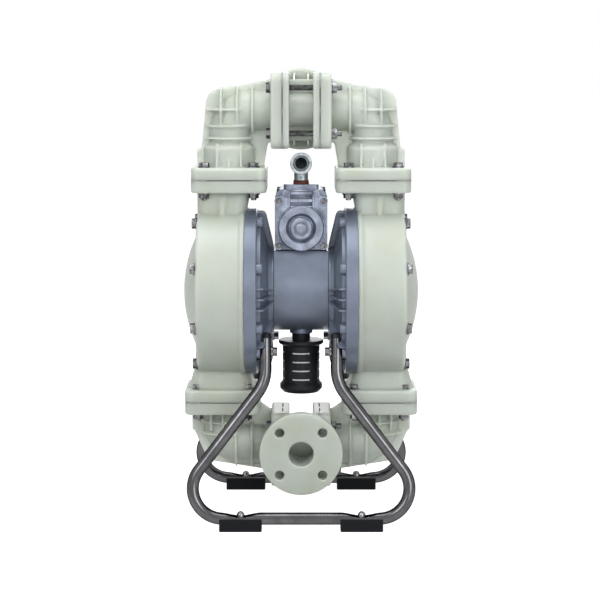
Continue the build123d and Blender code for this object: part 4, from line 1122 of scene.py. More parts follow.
@dataclass
class Tee:
    """The tee between two elbows, with its round pipe flange."""

    stage: Stage
    level: float
    reach: float
    facing: int
    plate: float = 13.5
    pipe_radius: float = 33.0
    port_radius: float = 25.0
    flange_radius: float = 82.5
    flange_thickness: float = 20.0
    pcd: float = 120.65
    hole: float = 9.5
    web_half: float = 3.5
    web_reach: float = 61.0
    gusset_gap: float = 14.0
    gusset_half: float = 2.0

    def build(self) -> None:
        """Build the tee as one piece, with its flange facing -Y or +Y."""
        place, former = LAYOUT, Former()
        half = place.tee_half
        outward = (0, self.facing, 0)
        back = self.reach - self.flange_thickness
        former.rod(self.pipe_radius, 1, 2 * half - 1, along_x(-half, 0, self.level), steps=64)
        branch = frame_at((0, 0, self.level), outward, (1, 0, 0))
        former.lathe([(self.port_radius, self.port_radius + 1),
                      (self.pipe_radius, self.port_radius + 1),
                      (self.pipe_radius, self.reach - 2), (self.port_radius, self.reach - 2)],
                     branch, steps=72)
        holes = [circle(self.hole, (self.pcd / 2 * math.cos(a), self.pcd / 2 * math.sin(a)), 32)
                 for a in (math.pi / 4 + k * math.pi / 2 for k in range(4))]
        former.prism(circle(self.flange_radius, steps=128), back, self.reach, branch, edge=1.5,
                     holes=[*holes, circle(self.port_radius, steps=72)])
        wide, tall = half - self.plate, self.web_reach
        former.prism([(-wide, -tall), (wide, -tall), (wide, tall), (-wide, tall)],
                     -self.web_half, self.web_half, to_front(z=self.level), edge=0.8)
        gusset = [(0, -tall), (0, tall), (back, self.flange_radius - 8),
                  (back, 8 - self.flange_radius)]
        for offset in (-self.gusset_gap, self.gusset_gap):
            wall = frame_at((offset, 0, self.level), (self.facing, 0, 0), outward)
            former.prism(gusset, -self.gusset_half, self.gusset_half, wall, edge=0.8)
        bore, plate = Former(), SeamPlate(self.plate, bridge=12.0)
        slab = plate.width + 10
        for side in (-1, 1):
            seam = frame_at((side * half, 0, self.level), (-side, 0, 0), (0, 1, 0))
            plate.add(former, bore, seam)
            bore.prism(rounded_rectangle(slab, slab, 2), -2 * plate.spare, 0, seam)
        name = f"{self.stage.value}_tee"
        piece = former.piece(f"{name}_casting", POLYPROPYLENE, bevel=0.6)
        bore.rod(self.port_radius, -half - 5, half + 5, along_x(z=self.level))
        bore.rod(self.port_radius, 0, self.reach + 5, branch)
        carve(piece, bore, POLYPROPYLENE)
        settle(piece, POLYPROPYLENE, name)


def elbows() -> list[Elbow]:
    """Return the four elbows of both manifolds.

    Returns:
        The elbows, left ones first.
    """
    upper, lower, end = LAYOUT.upper_neck_x, LAYOUT.lower_neck_x, 59.95
    rise, drop = 137.0, 97.0
    discharge = [(upper + 65, 25), (upper + 65, 60), (upper + 56, 61),
                 (upper + 44.5, rise + 40), (end, rise + 61.5), (end, rise - 62),
                 (upper - 76, rise - 67), (upper - 69, 25)]
    suction = [(lower + 64, 25), (lower + 64, 67), (lower + 59, 70),
               (lower + 32, drop + 34), (end, drop + 55), (end, 25), (lower - 74, 9),
               (lower - 60, 12.5)]
    made = []
    for side in Side:
        made.append(Elbow(side, Stage.DISCHARGE, upper, rise, discharge,
                          [0, 4, 0, 32, 0, 0, 10, 0], (79.7, 104.0, 137.0),
                          (upper + 14, upper - 18, upper - 48), cage=62.7))
        made.append(Elbow(side, Stage.SUCTION, lower, drop, suction,
                          [0, 3, 0, 24, 0, 0, 0, 0], (45.0, 69.0),
                          (lower - 28, lower - 60)))
    return made


# Air chambers and centre body


@dataclass
class AirChamber:
    """One grey ribbed air chamber."""

    side: Side
    hub_x: float = 55.0
    hub_radius: float = 88.0
    rim_radius: float = 168.0
    lug_face_x: float = 80.8
    lug_angle: float = 134.0
    lug_clear: float = 10.0
    rib_half: float = 2.0
    rib_turn: float = 15.0

    def ribs(self) -> bpy.types.Object:
        """Build the radial ribs as copies of one rib.

        Returns:
            The ribs of a right-hand chamber.
        """
        pattern = Former()
        outline = [(self.hub_x, 68), (self.hub_x, 90), (58, 104), (70, 154), (73, 159.5),
                   (77, 162), (89, 162), (89, 146), (72, 90), (64, 68)]
        pattern.prism(outline, -self.rib_half, self.rib_half,
                      frame_at((0, 0, 0), (0, -1, 0), (0, 0, 1)), edge=0.9)
        turns, middle = LAYOUT.bolt_turns(), 180 / LAYOUT.chamber_bolts
        angles = [a + s for a in turns for s in (-self.rib_turn, self.rib_turn)]
        angles += [a + middle for a in turns]
        spots = []
        for angle in angles:
            if abs(min(angle, 360 - angle) - self.lug_angle) <= self.lug_clear:
                continue
            turn = math.radians(angle)
            outward = (0.0, math.sin(turn), math.cos(turn))
            spots.append(((0.0, 0.0, LAYOUT.axis_z), (1.0, 0.0, 0.0), outward))
        return Repeater.spread(f"{self.side.hand}_air_ribs", pattern, GREY_PAINT, spots)

    def build(self) -> None:
        """Build the chamber as a casting and its ribs."""
        place, former = LAYOUT, Former()
        rim = rounded_path([(149, place.rim_back_x), (166, place.rim_back_x),
                            (self.rim_radius, place.rim_back_x + 2),
                            (self.rim_radius, place.joint_x - 0.6)], [0, 0])
        former.lathe([(16, self.hub_x), (self.hub_radius, self.hub_x),
                      (self.hub_radius, self.hub_x + 3), (92, 65), (149, 80),
                      *flat(rim), (self.rim_radius - 1.5, place.joint_x), (150, place.joint_x),
                      (142, 104), (92, 76), (81, 68), (16, 64)], along_x(z=place.axis_z), steps=128)
        for angle in place.bolt_turns():
            former.lathe([(0, -0.6), (7.6, 0), (10.0, 1.2), (11.1, 3.4), (11.8, 14), (0, 14)],
                         along_x(*place.on_bolt_circle(place.rim_back_x - 12, angle)), steps=40)
        for y in (-place.lug_y, place.lug_y):
            former.lathe([(0, 0), (12.4, 0), (13, 0.6), (13, 8), (0, 8)],
                         along_x(self.lug_face_x, y, place.lug_z), steps=40)
        former.turn_to(self.side)
        hand = self.side.hand
        former.place(f"{hand}_air_casting", GREY_PAINT, f"{hand}_air_chamber", bevel=0.8)
        ribs = self.ribs()
        if self.side is Side.LEFT:
            ribs.data.transform(Matrix.Scale(-1, 4, (1, 0, 0)))
            ribs.data.flip_normals()
        settle(ribs, GREY_PAINT)


@dataclass
class CentreBody:
    """The grey barrel with the seat of the air valve on top."""

    half: float = 54.7
    radius: float = 80.0
    slope: float = 0.577
    hollow: float = 0.00324
    seat_z: float = 535.0
    boss_radius: float = 23.0
    boss_z: float = 364.0

    def build(self) -> None:
        """Build the body as one piece."""
        former, level = Former(), LAYOUT.axis_z
        former.lathe([(0, -self.half), (self.radius - 0.6, -self.half),
                      (self.radius, 0.6 - self.half), (self.radius, self.half - 0.6),
                      (self.radius - 0.6, self.half), (0, self.half)], along_x(z=level),
                     steps=128)
        low, rise = level + self.radius / 2, 5.0
        steps = round((self.seat_z - low) / rise)
        flank = [(self.radius * math.cos(math.pi / 6) - self.slope * rise * k
                  + self.hollow * (rise * k) ** 2, low + rise * k) for k in range(steps + 1)]
        former.prism([(-y, z) for y, z in flank] + flank[::-1], -self.half, self.half,
                     along_x(), edge=0.6)
        former.lathe([(0, 0), (self.boss_radius - 1, 0), (self.boss_radius, 1),
                      (self.boss_radius, 30), (0, 30)],
                     Matrix.Translation((0, 0, self.boss_z)), steps=64)
        former.place("centre_barrel", GREY_PAINT, "centre_body", bevel=0.5)


# Air valve, inlet and muffler


@dataclass
class AirValve:
    """The die-cast air valve: body, covers, cap and button."""

    base_z: float = 536.5
    half_width: float = 50.0
    half_depth: float = 47.0
    top_z: float = 657.0
    cap_z: float = 666.6
    cover_width: float = 104.0
    cover_height: float = 105.5
    cover: float = 19.0
    spool_z: float = 581.5
    screw: float = 44.0
    window_rise: float = 56.0

    def screw_spots(self) -> list[Pair]:
        """Return the centres of the cover screws in X and Z."""
        low = self.base_z + 11
        return [(x, z) for x in (-self.screw, self.screw) for z in (low, low + 2 * self.screw)]

    def relief(self, former: Former, outline: Iterable[Pair], low: float, high: float,
               edge: float = 0.0, holes: Iterable[Sequence[Pair]] = (), sign: int = -1) -> None:
        """Raise an outline of X and Z pairs from the front or rear of the body.

        Args:
            former: Where it goes.
            outline: The outer outline.
            low: How far the lower face stands out of the body.
            high: How far the upper face stands out of the body.
            edge: The width of the chamfer along both faces.
            holes: Outlines of holes.
            sign: -1 for the front, 1 for the rear.
        """
        rings = [[(x, -sign * z) for x, z in ring] for ring in (outline, *holes)]
        frame = frame_at((0, sign * self.half_depth, 0), (0, sign, 0), (1, 0, 0))
        former.prism(rings[0], low, high, frame, edge=edge, holes=rings[1:])

    def body(self) -> None:
        """Build the body with its raised top."""
        former, wide, top = Former(), self.half_width, self.top_z
        outline = [(-wide, self.base_z), (wide, self.base_z), (wide, top - 7),
                   (wide - 7, top), (7 - wide, top), (-wide, top - 7)]
        self.relief(former, outline, -2 * self.half_depth, 0, edge=1.2)
        former.prism(rounded_rectangle(70, 1.5 * self.half_depth, 8), self.top_z - 10, self.cap_z,
                     edge=1.5)
        former.place("air_valve_casting", DIE_CASTING, "air_valve_body", bevel=0.8)

    def front_cover(self) -> None:
        """Build the front cover with its round cap, rims, slats and screw bosses."""
        former = Former()
        low, side, crown = self.base_z + 2, self.cover_width / 2, self.base_z + 119.5
        skin, proud, middle = self.cover - 4, self.cover - 1, self.spool_z
        outline = rounded_path(
            [(-side, low), (side, low), (side, low + 103), (38, low + 108), (36, crown),
             (-36, crown), (-38, low + 108), (-side, low + 103)],
            [9, 9, 8, 4, 6, 6, 4, 8], step=12, closed=True)
        window, floor = (rounded_rectangle(50 + more, 37 + more, 3, (0, middle + self.window_rise))
                         for more in (0, 4))
        self.relief(former, outline, 0, skin, edge=1.5, holes=[window])
        self.relief(former, floor, -2, 1)
        for spot in self.screw_spots():
            self.relief(former, circle(8.9, spot, 40), 1, self.cover + 1, edge=1.0,
                        holes=[circle(6.4, spot, 40)])
        for x in (-30, 30):
            self.relief(former, circle(7.2, (x, low + 112), 32), 1, proud, edge=1.2)
        for level, height in ((69.5, 5.6), (54.6, 6.4), (42.8, 3.4)):
            self.relief(former, rounded_rectangle(43, height, 1.5, (0, middle + level)), 0,
                        self.cover, edge=0.9)
        for bar in (rounded_rectangle(3.4, 35, 1.5, (-24, middle + 55.5)),
                    rounded_rectangle(3.4, 35, 1.5, (24, middle + 55.5)),
                    rounded_rectangle(62, 3.0, 1.4, (0, middle - 40.3))):
            self.relief(former, bar, skin - 1, proud, edge=0.9)
        for flip in (-1, 1):
            arc = [(flip * radius * math.cos(math.radians(angle)),
                    middle + radius * math.sin(math.radians(angle)))
                   for radius, angles in ((48.8, range(-28, 66, 4)), (51.6, range(64, -30, -4)))
                   for angle in angles]
            self.relief(former, arc[::flip], skin - 1, self.cover, edge=0.8)
        face = self.cover + 6
        former.lathe([(11.1, 1), (45.5, 1), (45.5, face - 3), (45.2, face - 2.4),
                      (43.6, face - 0.4), (43.2, face), (42.6, face), (30.6, face),
                      (30, face), (29.6, face - 0.4), (24.6, face - 8.6), (24.2, face - 9),
                      (23.6, face - 9), (22.6, face - 8.6), (21.6, face - 1.2),
                      (21.0, face - 0.4), (20.4, face), (19.8, face), (14.8, face),
                      (14.2, face), (13.4, face - 1), (13.2, face - 3), (11.1, face - 3)],
                     to_front(-self.half_depth, self.spool_z))
        former.place("air_valve_front_cap", DIE_CASTING, "air_valve_front_cover", bevel=0.4)

    def rear_cover(self) -> None:
        """Build the plain rear cover."""
        former, middle = Former(), (0.0, self.base_z + 2 + self.cover_height / 2)
        plate = rounded_rectangle(self.cover_width, self.cover_height, 9, middle)
        self.relief(former, plate, 0, self.cover - 4, edge=1.5, sign=1)
        for spot in self.screw_spots():
            self.relief(former, circle(9, spot, 40), 1, self.cover, edge=1.0, sign=1)
        self.relief(former, circle(44, (0, self.spool_z), 96), 1, self.cover, edge=3.0, sign=1)
        former.place("air_valve_rear_cap", DIE_CASTING, "air_valve_rear_cover", bevel=0.5)

    def button(self) -> None:
        """Build the reset button."""
        former, face = Former(), self.half_depth + self.cover + 6
        former.lathe([(0, 43.3), (4, 43.3), (4, 59), (14.8, 59), (14.8, 62), (10.8, 62),
                      (10.8, face - 0.5), (10.2, face + 0.6), (8.6, face + 1.4),
                      (5, face + 1.9), (0, face + 2)], to_front(z=self.spool_z), steps=64)
        former.place("reset_knob", DIE_CASTING, "reset_button", body="button")

    def build(self) -> None:
        """Build the whole air valve."""
        self.body()
        self.front_cover()
        self.rear_cover()
        self.button()


@dataclass
class AirInlet:
    """The galvanised street elbow and the sealant under it."""

    y: float = -10.0
    floor_z: float = 655.6
    level: float = 708.1
    mouth_y: float = -45.0
    radius: float = 14.0
    band: float = 21.75
    bore: float = 15.15
    pipe_bore: float = 12.0
    seat_z: float = 666.6
    ridges: int = 5
    ridge_pitch: float = 2.4

    def build(self) -> None:
        """Build the elbow with its banded mouth, and the sealant."""
        former = Former()
        run = rounded_path([(0, self.y, self.floor_z), (0, self.y, self.level),
                            (0, self.mouth_y + 15, self.level)], [16.0])
        former.sweep(run, self.radius, steps=48, bore=self.pipe_bore)
        mouth = to_front(self.mouth_y, self.level)
        band = rounded_path([(self.bore + 0.4, -16), (self.bore + 1.4, 0), (self.band, 0),
                             (self.band, -9), (self.band - 3, -10), (self.band - 3, -16),
                             (self.radius, -21), (self.pipe_bore, -21), (self.pipe_bore, -20)],
                            [0.8, 1.6, 1.6, 0, 1.5, 0, 0])
        former.lathe(flat(band), mouth, steps=72)
        for k in range(self.ridges):
            ridge = -1.5 - self.ridge_pitch * k
            former.lathe([(self.bore - 0.2, ridge), (self.bore + 1.5, ridge - 1.1),
                          (self.bore + 1.5, ridge + 1.1)], mouth, steps=64)
        former.place("air_inlet_elbow", ZINC, "inlet_elbow", bevel=0.4)
        ring = Former()
        inner, seat = self.radius - 0.5, Matrix.Translation((0, self.y, self.seat_z))
        ring.lathe([(inner, 0), (16.4, 0), (15.7, 3.5), (14.9, 7.5), (inner, 7.5)], seat, steps=64)
        ring.place("inlet_paste", SEALANT, "thread_sealant")


@dataclass
class Muffler:
    """The black slotted muffler."""

    top_z: float = 364.0
    length: float = 120.0
    neck: float = 18.25
    cap: float = 45.3
    body: float = 37.5
    flare: float = 42.8
    wall: float = 5.0
    slots: int = 4
    pitch: float = 17.8
    first_slot: float = 38.5
    slot_width: float = 35.0
    slot_height: float = 3.5

    def slot_levels(self) -> list[float]:
        """Return the heights of the slots from the top one down."""
        return [self.top_z - self.first_slot - k * self.pitch for k in range(self.slots)]

    def build(self) -> None:
        """Build the shell, and cut its slots through the wall."""
        former = Former()
        low, cap = self.top_z - self.length, self.top_z - 13
        profile = [(0, self.top_z), (self.neck, self.top_z), (self.neck, cap),
                   (self.cap - 1, cap - 0.6), (self.cap, cap - 1.6), (self.cap, cap - 7),
                   (self.cap - 1, cap - 8), (self.body, cap - 12), (self.body, low + 22),
                   (self.flare, low + 16), (self.flare, low + 8), (self.flare - 1.2, low + 6),
                   (self.body - 0.8, low + 0.6), (self.body - 2, low), (0, low)]
        former.lathe(profile, steps=96)
        shell = former.piece("muffler_shell", BLACK_PLASTIC)
        cutter = Former()
        slot = rounded_rectangle(self.slot_width, self.slot_height, 1.6)
        for z in self.slot_levels():
            for x_axis in ((1, 0, 0), (0, 1, 0)):
                cutter.prism(slot, -60, 60,
                             frame_at((0, 0, z), Vector(x_axis).cross((0, 0, 1)), x_axis))
        cutter.rod(self.body - self.wall, low + self.wall, cap - 8, steps=96)
        carve(shell, cutter, BLACK_PLASTIC)
        settle(shell, BLACK_PLASTIC, "muffler_body")
        core = Former()
        tube, hollow = self.body - self.wall - 1, self.body - self.wall - 6
        profile = [(hollow, low + self.wall), (tube, low + self.wall)]
        for z in reversed(self.slot_levels()):
            profile += [(tube, z - 1.3), (self.body - 1.2, z - 1.3), (self.body - 1.2, z + 1.3),
                        (tube, z + 1.3)]
        profile += [(tube, self.top_z - 21), (hollow, self.top_z - 21)]
        core.lathe(profile, steps=96)
        core.place("muffler_core", POROUS, "muffler_element")


# Stand


@dataclass
class Stand:
    """Two leaning frames of bent tube on rubber feet."""

    tube: float = 12.0
    flat: float = 1.2
    foot_y: float = 183.4
    foot_z: float = 23.0
    upright_x: float = 70.0
    corner_x: float = 271.8
    upright: float = 86.5
    end: float = 25.6
    pad_x: float = 118.3
    pad: Triple = (83.0, 36.0, 24.0)
    dent: float = 8.0
    dent_reach: float = 44.0
    bends: tuple[float, ...] = (80.0, 59.0, 59.0, 80.0)
    station: float = 5.0
    fade: float = 14.0

    def lean(self) -> Vector:
        """Return the vector from the foot tube to the lug of the front frame."""
        return Vector((0, self.foot_y - LAYOUT.lug_y, LAYOUT.lug_z - self.foot_z))

    def on_plane(self, x: float, up: float, facing: int) -> Vector:
        """Return a point of a leaning frame.

        Args:
            x: Its place across.
            up: Its distance up the frame from the foot tube.
            facing: -1 for the front frame, 1 for the rear one.

        Returns:
            The point, in pump coordinates.
        """
        lean = self.lean()
        y = -self.foot_y + lean.normalized().y * up
        return Vector((x, -facing * y, self.foot_z + lean.normalized().z * up))

    def frame(self, facing: int) -> None:
        """Build one frame of bent tube with flattened ends.

        Args:
            facing: -1 for the front frame, 1 for the rear one.
        """
        top = self.lean().length + self.end
        bend = top - self.upright
        flat_from = top - 2 * self.end
        corners = [(-self.upright_x, top), (-self.upright_x, bend), (-self.corner_x, 0),
                   (self.corner_x, 0), (self.upright_x, bend), (self.upright_x, top)]
        path = rounded_path(corners, self.bends, step=3)
        dense: list[Vector] = []
        for a, b in zip(path, path[1:]):
            parts = max(1, int((b - a).length // self.station))
            dense += [a.lerp(b, k / parts) for k in range(parts)]
        dense.append(path[-1])
        spots = [self.on_plane(p.x, p.y, facing) for p in dense]
        reach = {tuple(round(c, 4) for c in q): p.y for p, q in zip(dense, spots)}

        def squeeze(point: Vector, centre: Vector) -> Vector:
            """Press the tube flat at its lugs, and dent it under the foot bolts.

            Args:
                point: A point of the round skin.
                centre: The point of the path that it belongs to.

            Returns:
                The moved point.
            """
            up = reach[tuple(round(c, 4) for c in centre)]
            if up < 1.0:
                gap = abs(abs(centre.x) - self.pad_x)
                share = max(0.0, 1 - (gap / self.dent_reach)**2)**2
                lift = point.z - centre.z
                crown = self.tube - self.dent * share
                return Vector((point.x, point.y, centre.z + min(lift, crown)))
            share = min(max((up - flat_from) / self.fade, 0), 1)
            limit = self.tube - self.flat * share
            offset = min(max(point.x - centre.x, -limit), limit)
            return Vector((centre.x + offset, point.y, point.z))

        former = Former()
        former.sweep(spots, self.tube, steps=48, squeeze=squeeze)
        name = "front" if facing < 0 else "rear"
        former.place(f"{name}_stand_tube", STAND_TUBE, f"{name}_stand_frame")

    def plugs(self) -> None:
        """Build the four plugs in the tube ends."""
        former = Former()
        top = self.lean().length + self.end
        for facing in (-1, 1):
            for x in (-self.upright_x, self.upright_x):
                start = self.on_plane(x, top, facing)
                up = self.on_plane(x, top + 1, facing) - start
                former.lathe([(0, -10), (9.9, -10), (9.9, 0), (12.2, 0.1), (12.5, 3.6),
                              (11.7, 7.4), (9.4, 10.4), (5.6, 12.2), (0, 12.9)],
                             frame_at(start, up, (1, 0, 0)), steps=48)
        former.place("tube_plugs", BLACK_PLASTIC, "tube_end_plugs")

    def feet(self) -> None:
        """Build the four rubber pads, each round the underside of its tube."""
        former = Former()
        length, width, height = self.pad
        for x in (-self.pad_x, self.pad_x):
            for y in (-self.foot_y, self.foot_y):
                former.prism(rounded_rectangle(length, width, 3, (x, y)), 0, height, edge=1.5)
        former.place("rubber_pads", RUBBER, "rubber_feet")

    def build(self) -> None:
        """Build the whole stand."""
        for facing in (-1, 1):
            self.frame(facing)
        self.plugs()
        self.feet()


# Fasteners


@dataclass
class Fasteners:
    """Every screw, bolt and nut that shows."""

    m12: float = 6.0
    m10: float = 5.0
    head: float = 7.5
    nut: float = 9.0
    flange_tail: float = 4.0
    tie_tail: float = 10.0
    head_ratio: float = 1.73
    washer_ratio: float = 2.02
    valve_bolt: Pair = (42.5, 29.0)

    def hex_head(self, height: float, washer: float = 2.0, tail: float = 0.0,
                 shank: float = m12) -> Former:
        """Return a hexagon head or nut on a washer, with Z outwards.

        Args:
            height: The height of the hexagon.
            washer: The washer's thickness.
            tail: How far a thread stands out of a nut.
            shank: The shank's radius.

        Returns:
            The fastener's mesh.
        """
        former = Former()
        former.rod(shank * self.washer_ratio, 0, washer, steps=32)
        former.prism(circle(shank * self.head_ratio, steps=6), washer * 0.9, washer + height,
                     edge=shank * 0.1)
        if tail:
            top = washer + height
            former.lathe([(0, top - 1), (shank * 0.92, top - 1), (shank * 0.92, top + tail - 1),
                          (shank * 0.7, top + tail), (0, top + tail)], steps=24)
        return former

    def stud(self, length: float, pitch: float = 2.5) -> Former:
        """Return a threaded rod along Z, with its thread as rings.

        Args:
            length: Its length.
            pitch: The distance of two rings.

        Returns:
            The rod's mesh.
        """
        former, turns, core = Former(), int(length / pitch), self.m12 * 0.88
        profile: list[Pair] = [(0, 0)]
        for k in range(turns):
            z = length * k / turns
            profile += [(core, z), (self.m12, z + length / turns / 2)]
        former.lathe([*profile, (core, length), (0, length)], steps=20)
        return former

    def fasten(self, name: str, pattern: Former, spots: Sequence[Spot], *nodes: str) -> None:
        """Copy a fastener to its spots, as one piece.

        Args:
            name: The piece's name.
            pattern: One fastener, with its Z axis outwards.
            spots: The place, the facing and the upward direction of each copy.
            *nodes: The CAD nodes that the piece stands for.
        """
        settle(Repeater.spread(name, pattern, BOLT_STEEL, spots), BOLT_STEEL, *nodes)

    def flange_joint(self, stage: Stage, x: float, seam: float) -> None:
        """Build the bolts and nuts of both joints beside the necks of one stage.

        Args:
            stage: The manifold that they hold.
            x: The neck's place along the rod.
            seam: The height of the seam.
        """
        heads, nuts, reach = [], [], LAYOUT.neck_plate
        for side in (-1, 1):
            for i, j in joint_spots(LAYOUT.joint_bolts):
                spot = (side * (x + i), j)
                heads.append(((*spot, seam + reach), (0.0, 0.0, 1.0), (1.0, 0.3 * i / 49, 0.0)))
                nuts.append(((*spot, seam - reach), (0.0, 0.0, -1.0), (1.0, 0.2 * j / 49, 0.0)))
        name = f"{stage.value}_flange"
        self.fasten(f"{name}_heads", self.hex_head(self.head), heads, f"{name}_bolts")
        self.fasten(f"{name}_nuts", self.hex_head(self.nut, tail=self.flange_tail), nuts)

    def tie_joint(self, stage: Stage, level: float) -> None:
        """Build the long tie bolts of one manifold.

        Args:
            stage: The manifold that they hold.
            level: The height of its pipe.
        """
        end = LAYOUT.tee_half + LAYOUT.elbow_plate
        left, right = (-1.0, 0.0, 0.0), (1.0, 0.0, 0.0)
        heads, nuts, rods = [], [], []
        for i, j in joint_spots(LAYOUT.tie_bolts):
            heads.append(((-end, i, level + j), left, (0.0, 0.2, 1.0)))
            nuts.append(((end, i, level + j), right, (0.0, -0.3, 1.0)))
            rods.append(((-end, i, level + j), right, (0.0, 0.0, 1.0)))
        name = f"{stage.value}_tie"
        self.fasten(f"{name}_rods", self.stud(2 * end), rods, f"{name}_bolts")
        self.fasten(f"{name}_heads", self.hex_head(self.head), heads)
        self.fasten(f"{name}_nuts", self.hex_head(self.nut, tail=self.tie_tail), nuts)

    def chamber_joint(self) -> None:
        """Build the heads on the drums. The bosses of the rims hide the bolt ends."""
        heads = []
        for side in (-1.0, 1.0):
            for angle in LAYOUT.bolt_turns():
                turn = math.radians(angle)
                heads.append((LAYOUT.on_bolt_circle(side * LAYOUT.shoulder_x, angle),
                              (side, 0.0, 0.0), (0.0, math.sin(3 * turn), math.cos(3 * turn))))
        self.fasten("chamber_bolt_heads", self.hex_head(self.head, washer=2.2), heads,
                    "chamber_bolts")

    def stand_joint(self, stand: Stand) -> None:
        """Build the bolts through the flattened tube ends and the feet.

        Args:
            stand: The stand that is bolted on.
        """
        inner = stand.upright_x - stand.tube + stand.flat
        spots = [((side * inner, y, LAYOUT.lug_z), (-side, 0.0, 0.0), (0.0, 0.3, 1.0))
                 for side in (-1.0, 1.0) for y in (-LAYOUT.lug_y, LAYOUT.lug_y)]
        self.fasten("stand_bolt_heads", self.hex_head(self.nut, washer=3.4, shank=self.m10), spots,
                    "stand_mount_bolts")
        dome = Former()
        dome.lathe([(0, -3), (9.4, -3), (9.6, -0.6), (8.2, 0.2), (7.9, 2.6), (7.2, 5.6),
                    (5.6, 8.4), (3.0, 10.2), (0, 10.8)], steps=32)
        seat = stand.foot_z + stand.tube - stand.dent
        tops = [((x, y, seat), (0.0, 0.0, 1.0), (1.0, 0.0, 0.0))
                for x in (-stand.pad_x, stand.pad_x) for y in (-stand.foot_y, stand.foot_y)]
        self.fasten("foot_bolt_heads", dome, tops, "foot_bolts")

    def socket_head(self, radius: float, height: float, edge: float, key: float,
                    floor: float) -> Former:
        """Return a round head with a hexagon socket.

        Args:
            radius: The head's radius.
            height: Its height.
            edge: The width of its chamfer.
            key: The socket's radius at its corners.
            floor: The height of the socket's floor.

        Returns:
            The head's mesh.
        """
        former = Former()
        former.prism(circle(radius, steps=32), 0.0, height, edge=edge,
                     holes=[circle(key, steps=6)])
        former.prism(circle(key + 0.3, steps=24), -0.5, floor)
        return former

    def valve_screws(self, valve: AirValve) -> None:
        """Build the socket screws of the covers and the bolts of the valve body.

        Args:
            valve: The air valve that is screwed together.
        """
        face = valve.half_depth + valve.cover - 3.4
        spots = [((x, sign * face, z), (0.0, sign, 0.0), (1.0, 0.0, 0.2 * x / 44))
                 for sign in (-1.0, 1.0) for x, z in valve.screw_spots()]
        self.fasten("cover_screw_heads", self.socket_head(5.4, 3.5, 0.4, 2.9, 0.9), spots,
                    "cover_screws")
        across, deep = self.valve_bolt
        tops = [((x, y, valve.top_z - 5.2), (0.0, 0.0, 1.0), (1.0, 0.1, 0.0))
                for x in (-across, across) for y in (-deep, deep)]
        self.fasten("valve_bolt_heads", self.socket_head(6.2, 6.0, 0.5, 3.2, 2.0), tops,
                    "valve_bolts")

    def build(self, stand: Stand, valve: AirValve) -> None:
        """Build every fastener.

        Args:
            stand: The stand that is bolted on.
            valve: The air valve that is screwed together.
        """
        self.flange_joint(Stage.DISCHARGE, LAYOUT.upper_neck_x, LAYOUT.upper_seam_z)
        self.flange_joint(Stage.SUCTION, LAYOUT.lower_neck_x, LAYOUT.lower_seam_z)
        self.tie_joint(Stage.DISCHARGE, LAYOUT.discharge_z)
        self.tie_joint(Stage.SUCTION, LAYOUT.suction_z)
        self.chamber_joint()
        self.stand_joint(stand)
        self.valve_screws(valve)


# Soft parts


@dataclass
class SoftParts:
    """The rubber diaphragms and the button's spring."""

    hole: float = 8.05
    roll: float = 75.0
    disc_x: float = 130.0
    thickness: float = 4.0
    coil_radius: float = 13.9
    wire: float = 0.9
    coil_start: float = -58.1
    coil_length: float = 10.2
    coil_turns: int = 3
    coil_steps: int = 24
    press: float = 5.0

    def build(self) -> None:
        """Build both diaphragms and the spring."""
        for side in Side:
            self.diaphragm(side)
        self.spring(AirValve().spool_z)

    def diaphragm(self, side: Side) -> None:
        """Build one diaphragm, curved between its clamped rim and the discs.

        Args:
            side: The end of the rod that it sits on.
        """
        place, face = LAYOUT, self.disc_x + self.thickness
        rim_x = place.joint_x - self.thickness
        corners = [(self.hole, face), (self.roll + 4, face), (137, place.joint_x),
                   (146, place.joint_x), (146, rim_x), (134, rim_x),
                   (self.roll, self.disc_x), (self.hole, self.disc_x)]
        ring = rounded_path(corners, [0, 6, 0, 0, 0, 0, 6, 0], step=20, closed=True)
        fine = [tuple(a.lerp(b, k / 6)) for a, b in zip(ring, ring[1:] + ring[:1])
                for k in range(6)]
        former = Former()
        former.lathe(fine, along_x(z=place.axis_z))
        former.turn_to(side)
        piece = former.piece(f"{side.hand}_diaphragm_rubber", RUBBER)
        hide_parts(f"{side.hand}_diaphragm")
        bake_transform(piece)

    def spring(self, level: float) -> None:
        """Build the spring.

        Args:
            level: The height of the button's axis.
        """
        steps, step = self.coil_steps * self.coil_turns, 2 * math.pi / self.coil_steps
        path = [Vector((self.coil_radius * math.cos(step * k),
                        self.coil_start + self.coil_length * k / steps,
                        level + self.coil_radius * math.sin(step * k)))
                for k in range(steps + 1)]
        former = Former()
        former.sweep(path, self.wire, steps=8)
        piece = former.place("button_coil", ROD_STEEL, "button_spring")
        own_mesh(piece)


# The studio


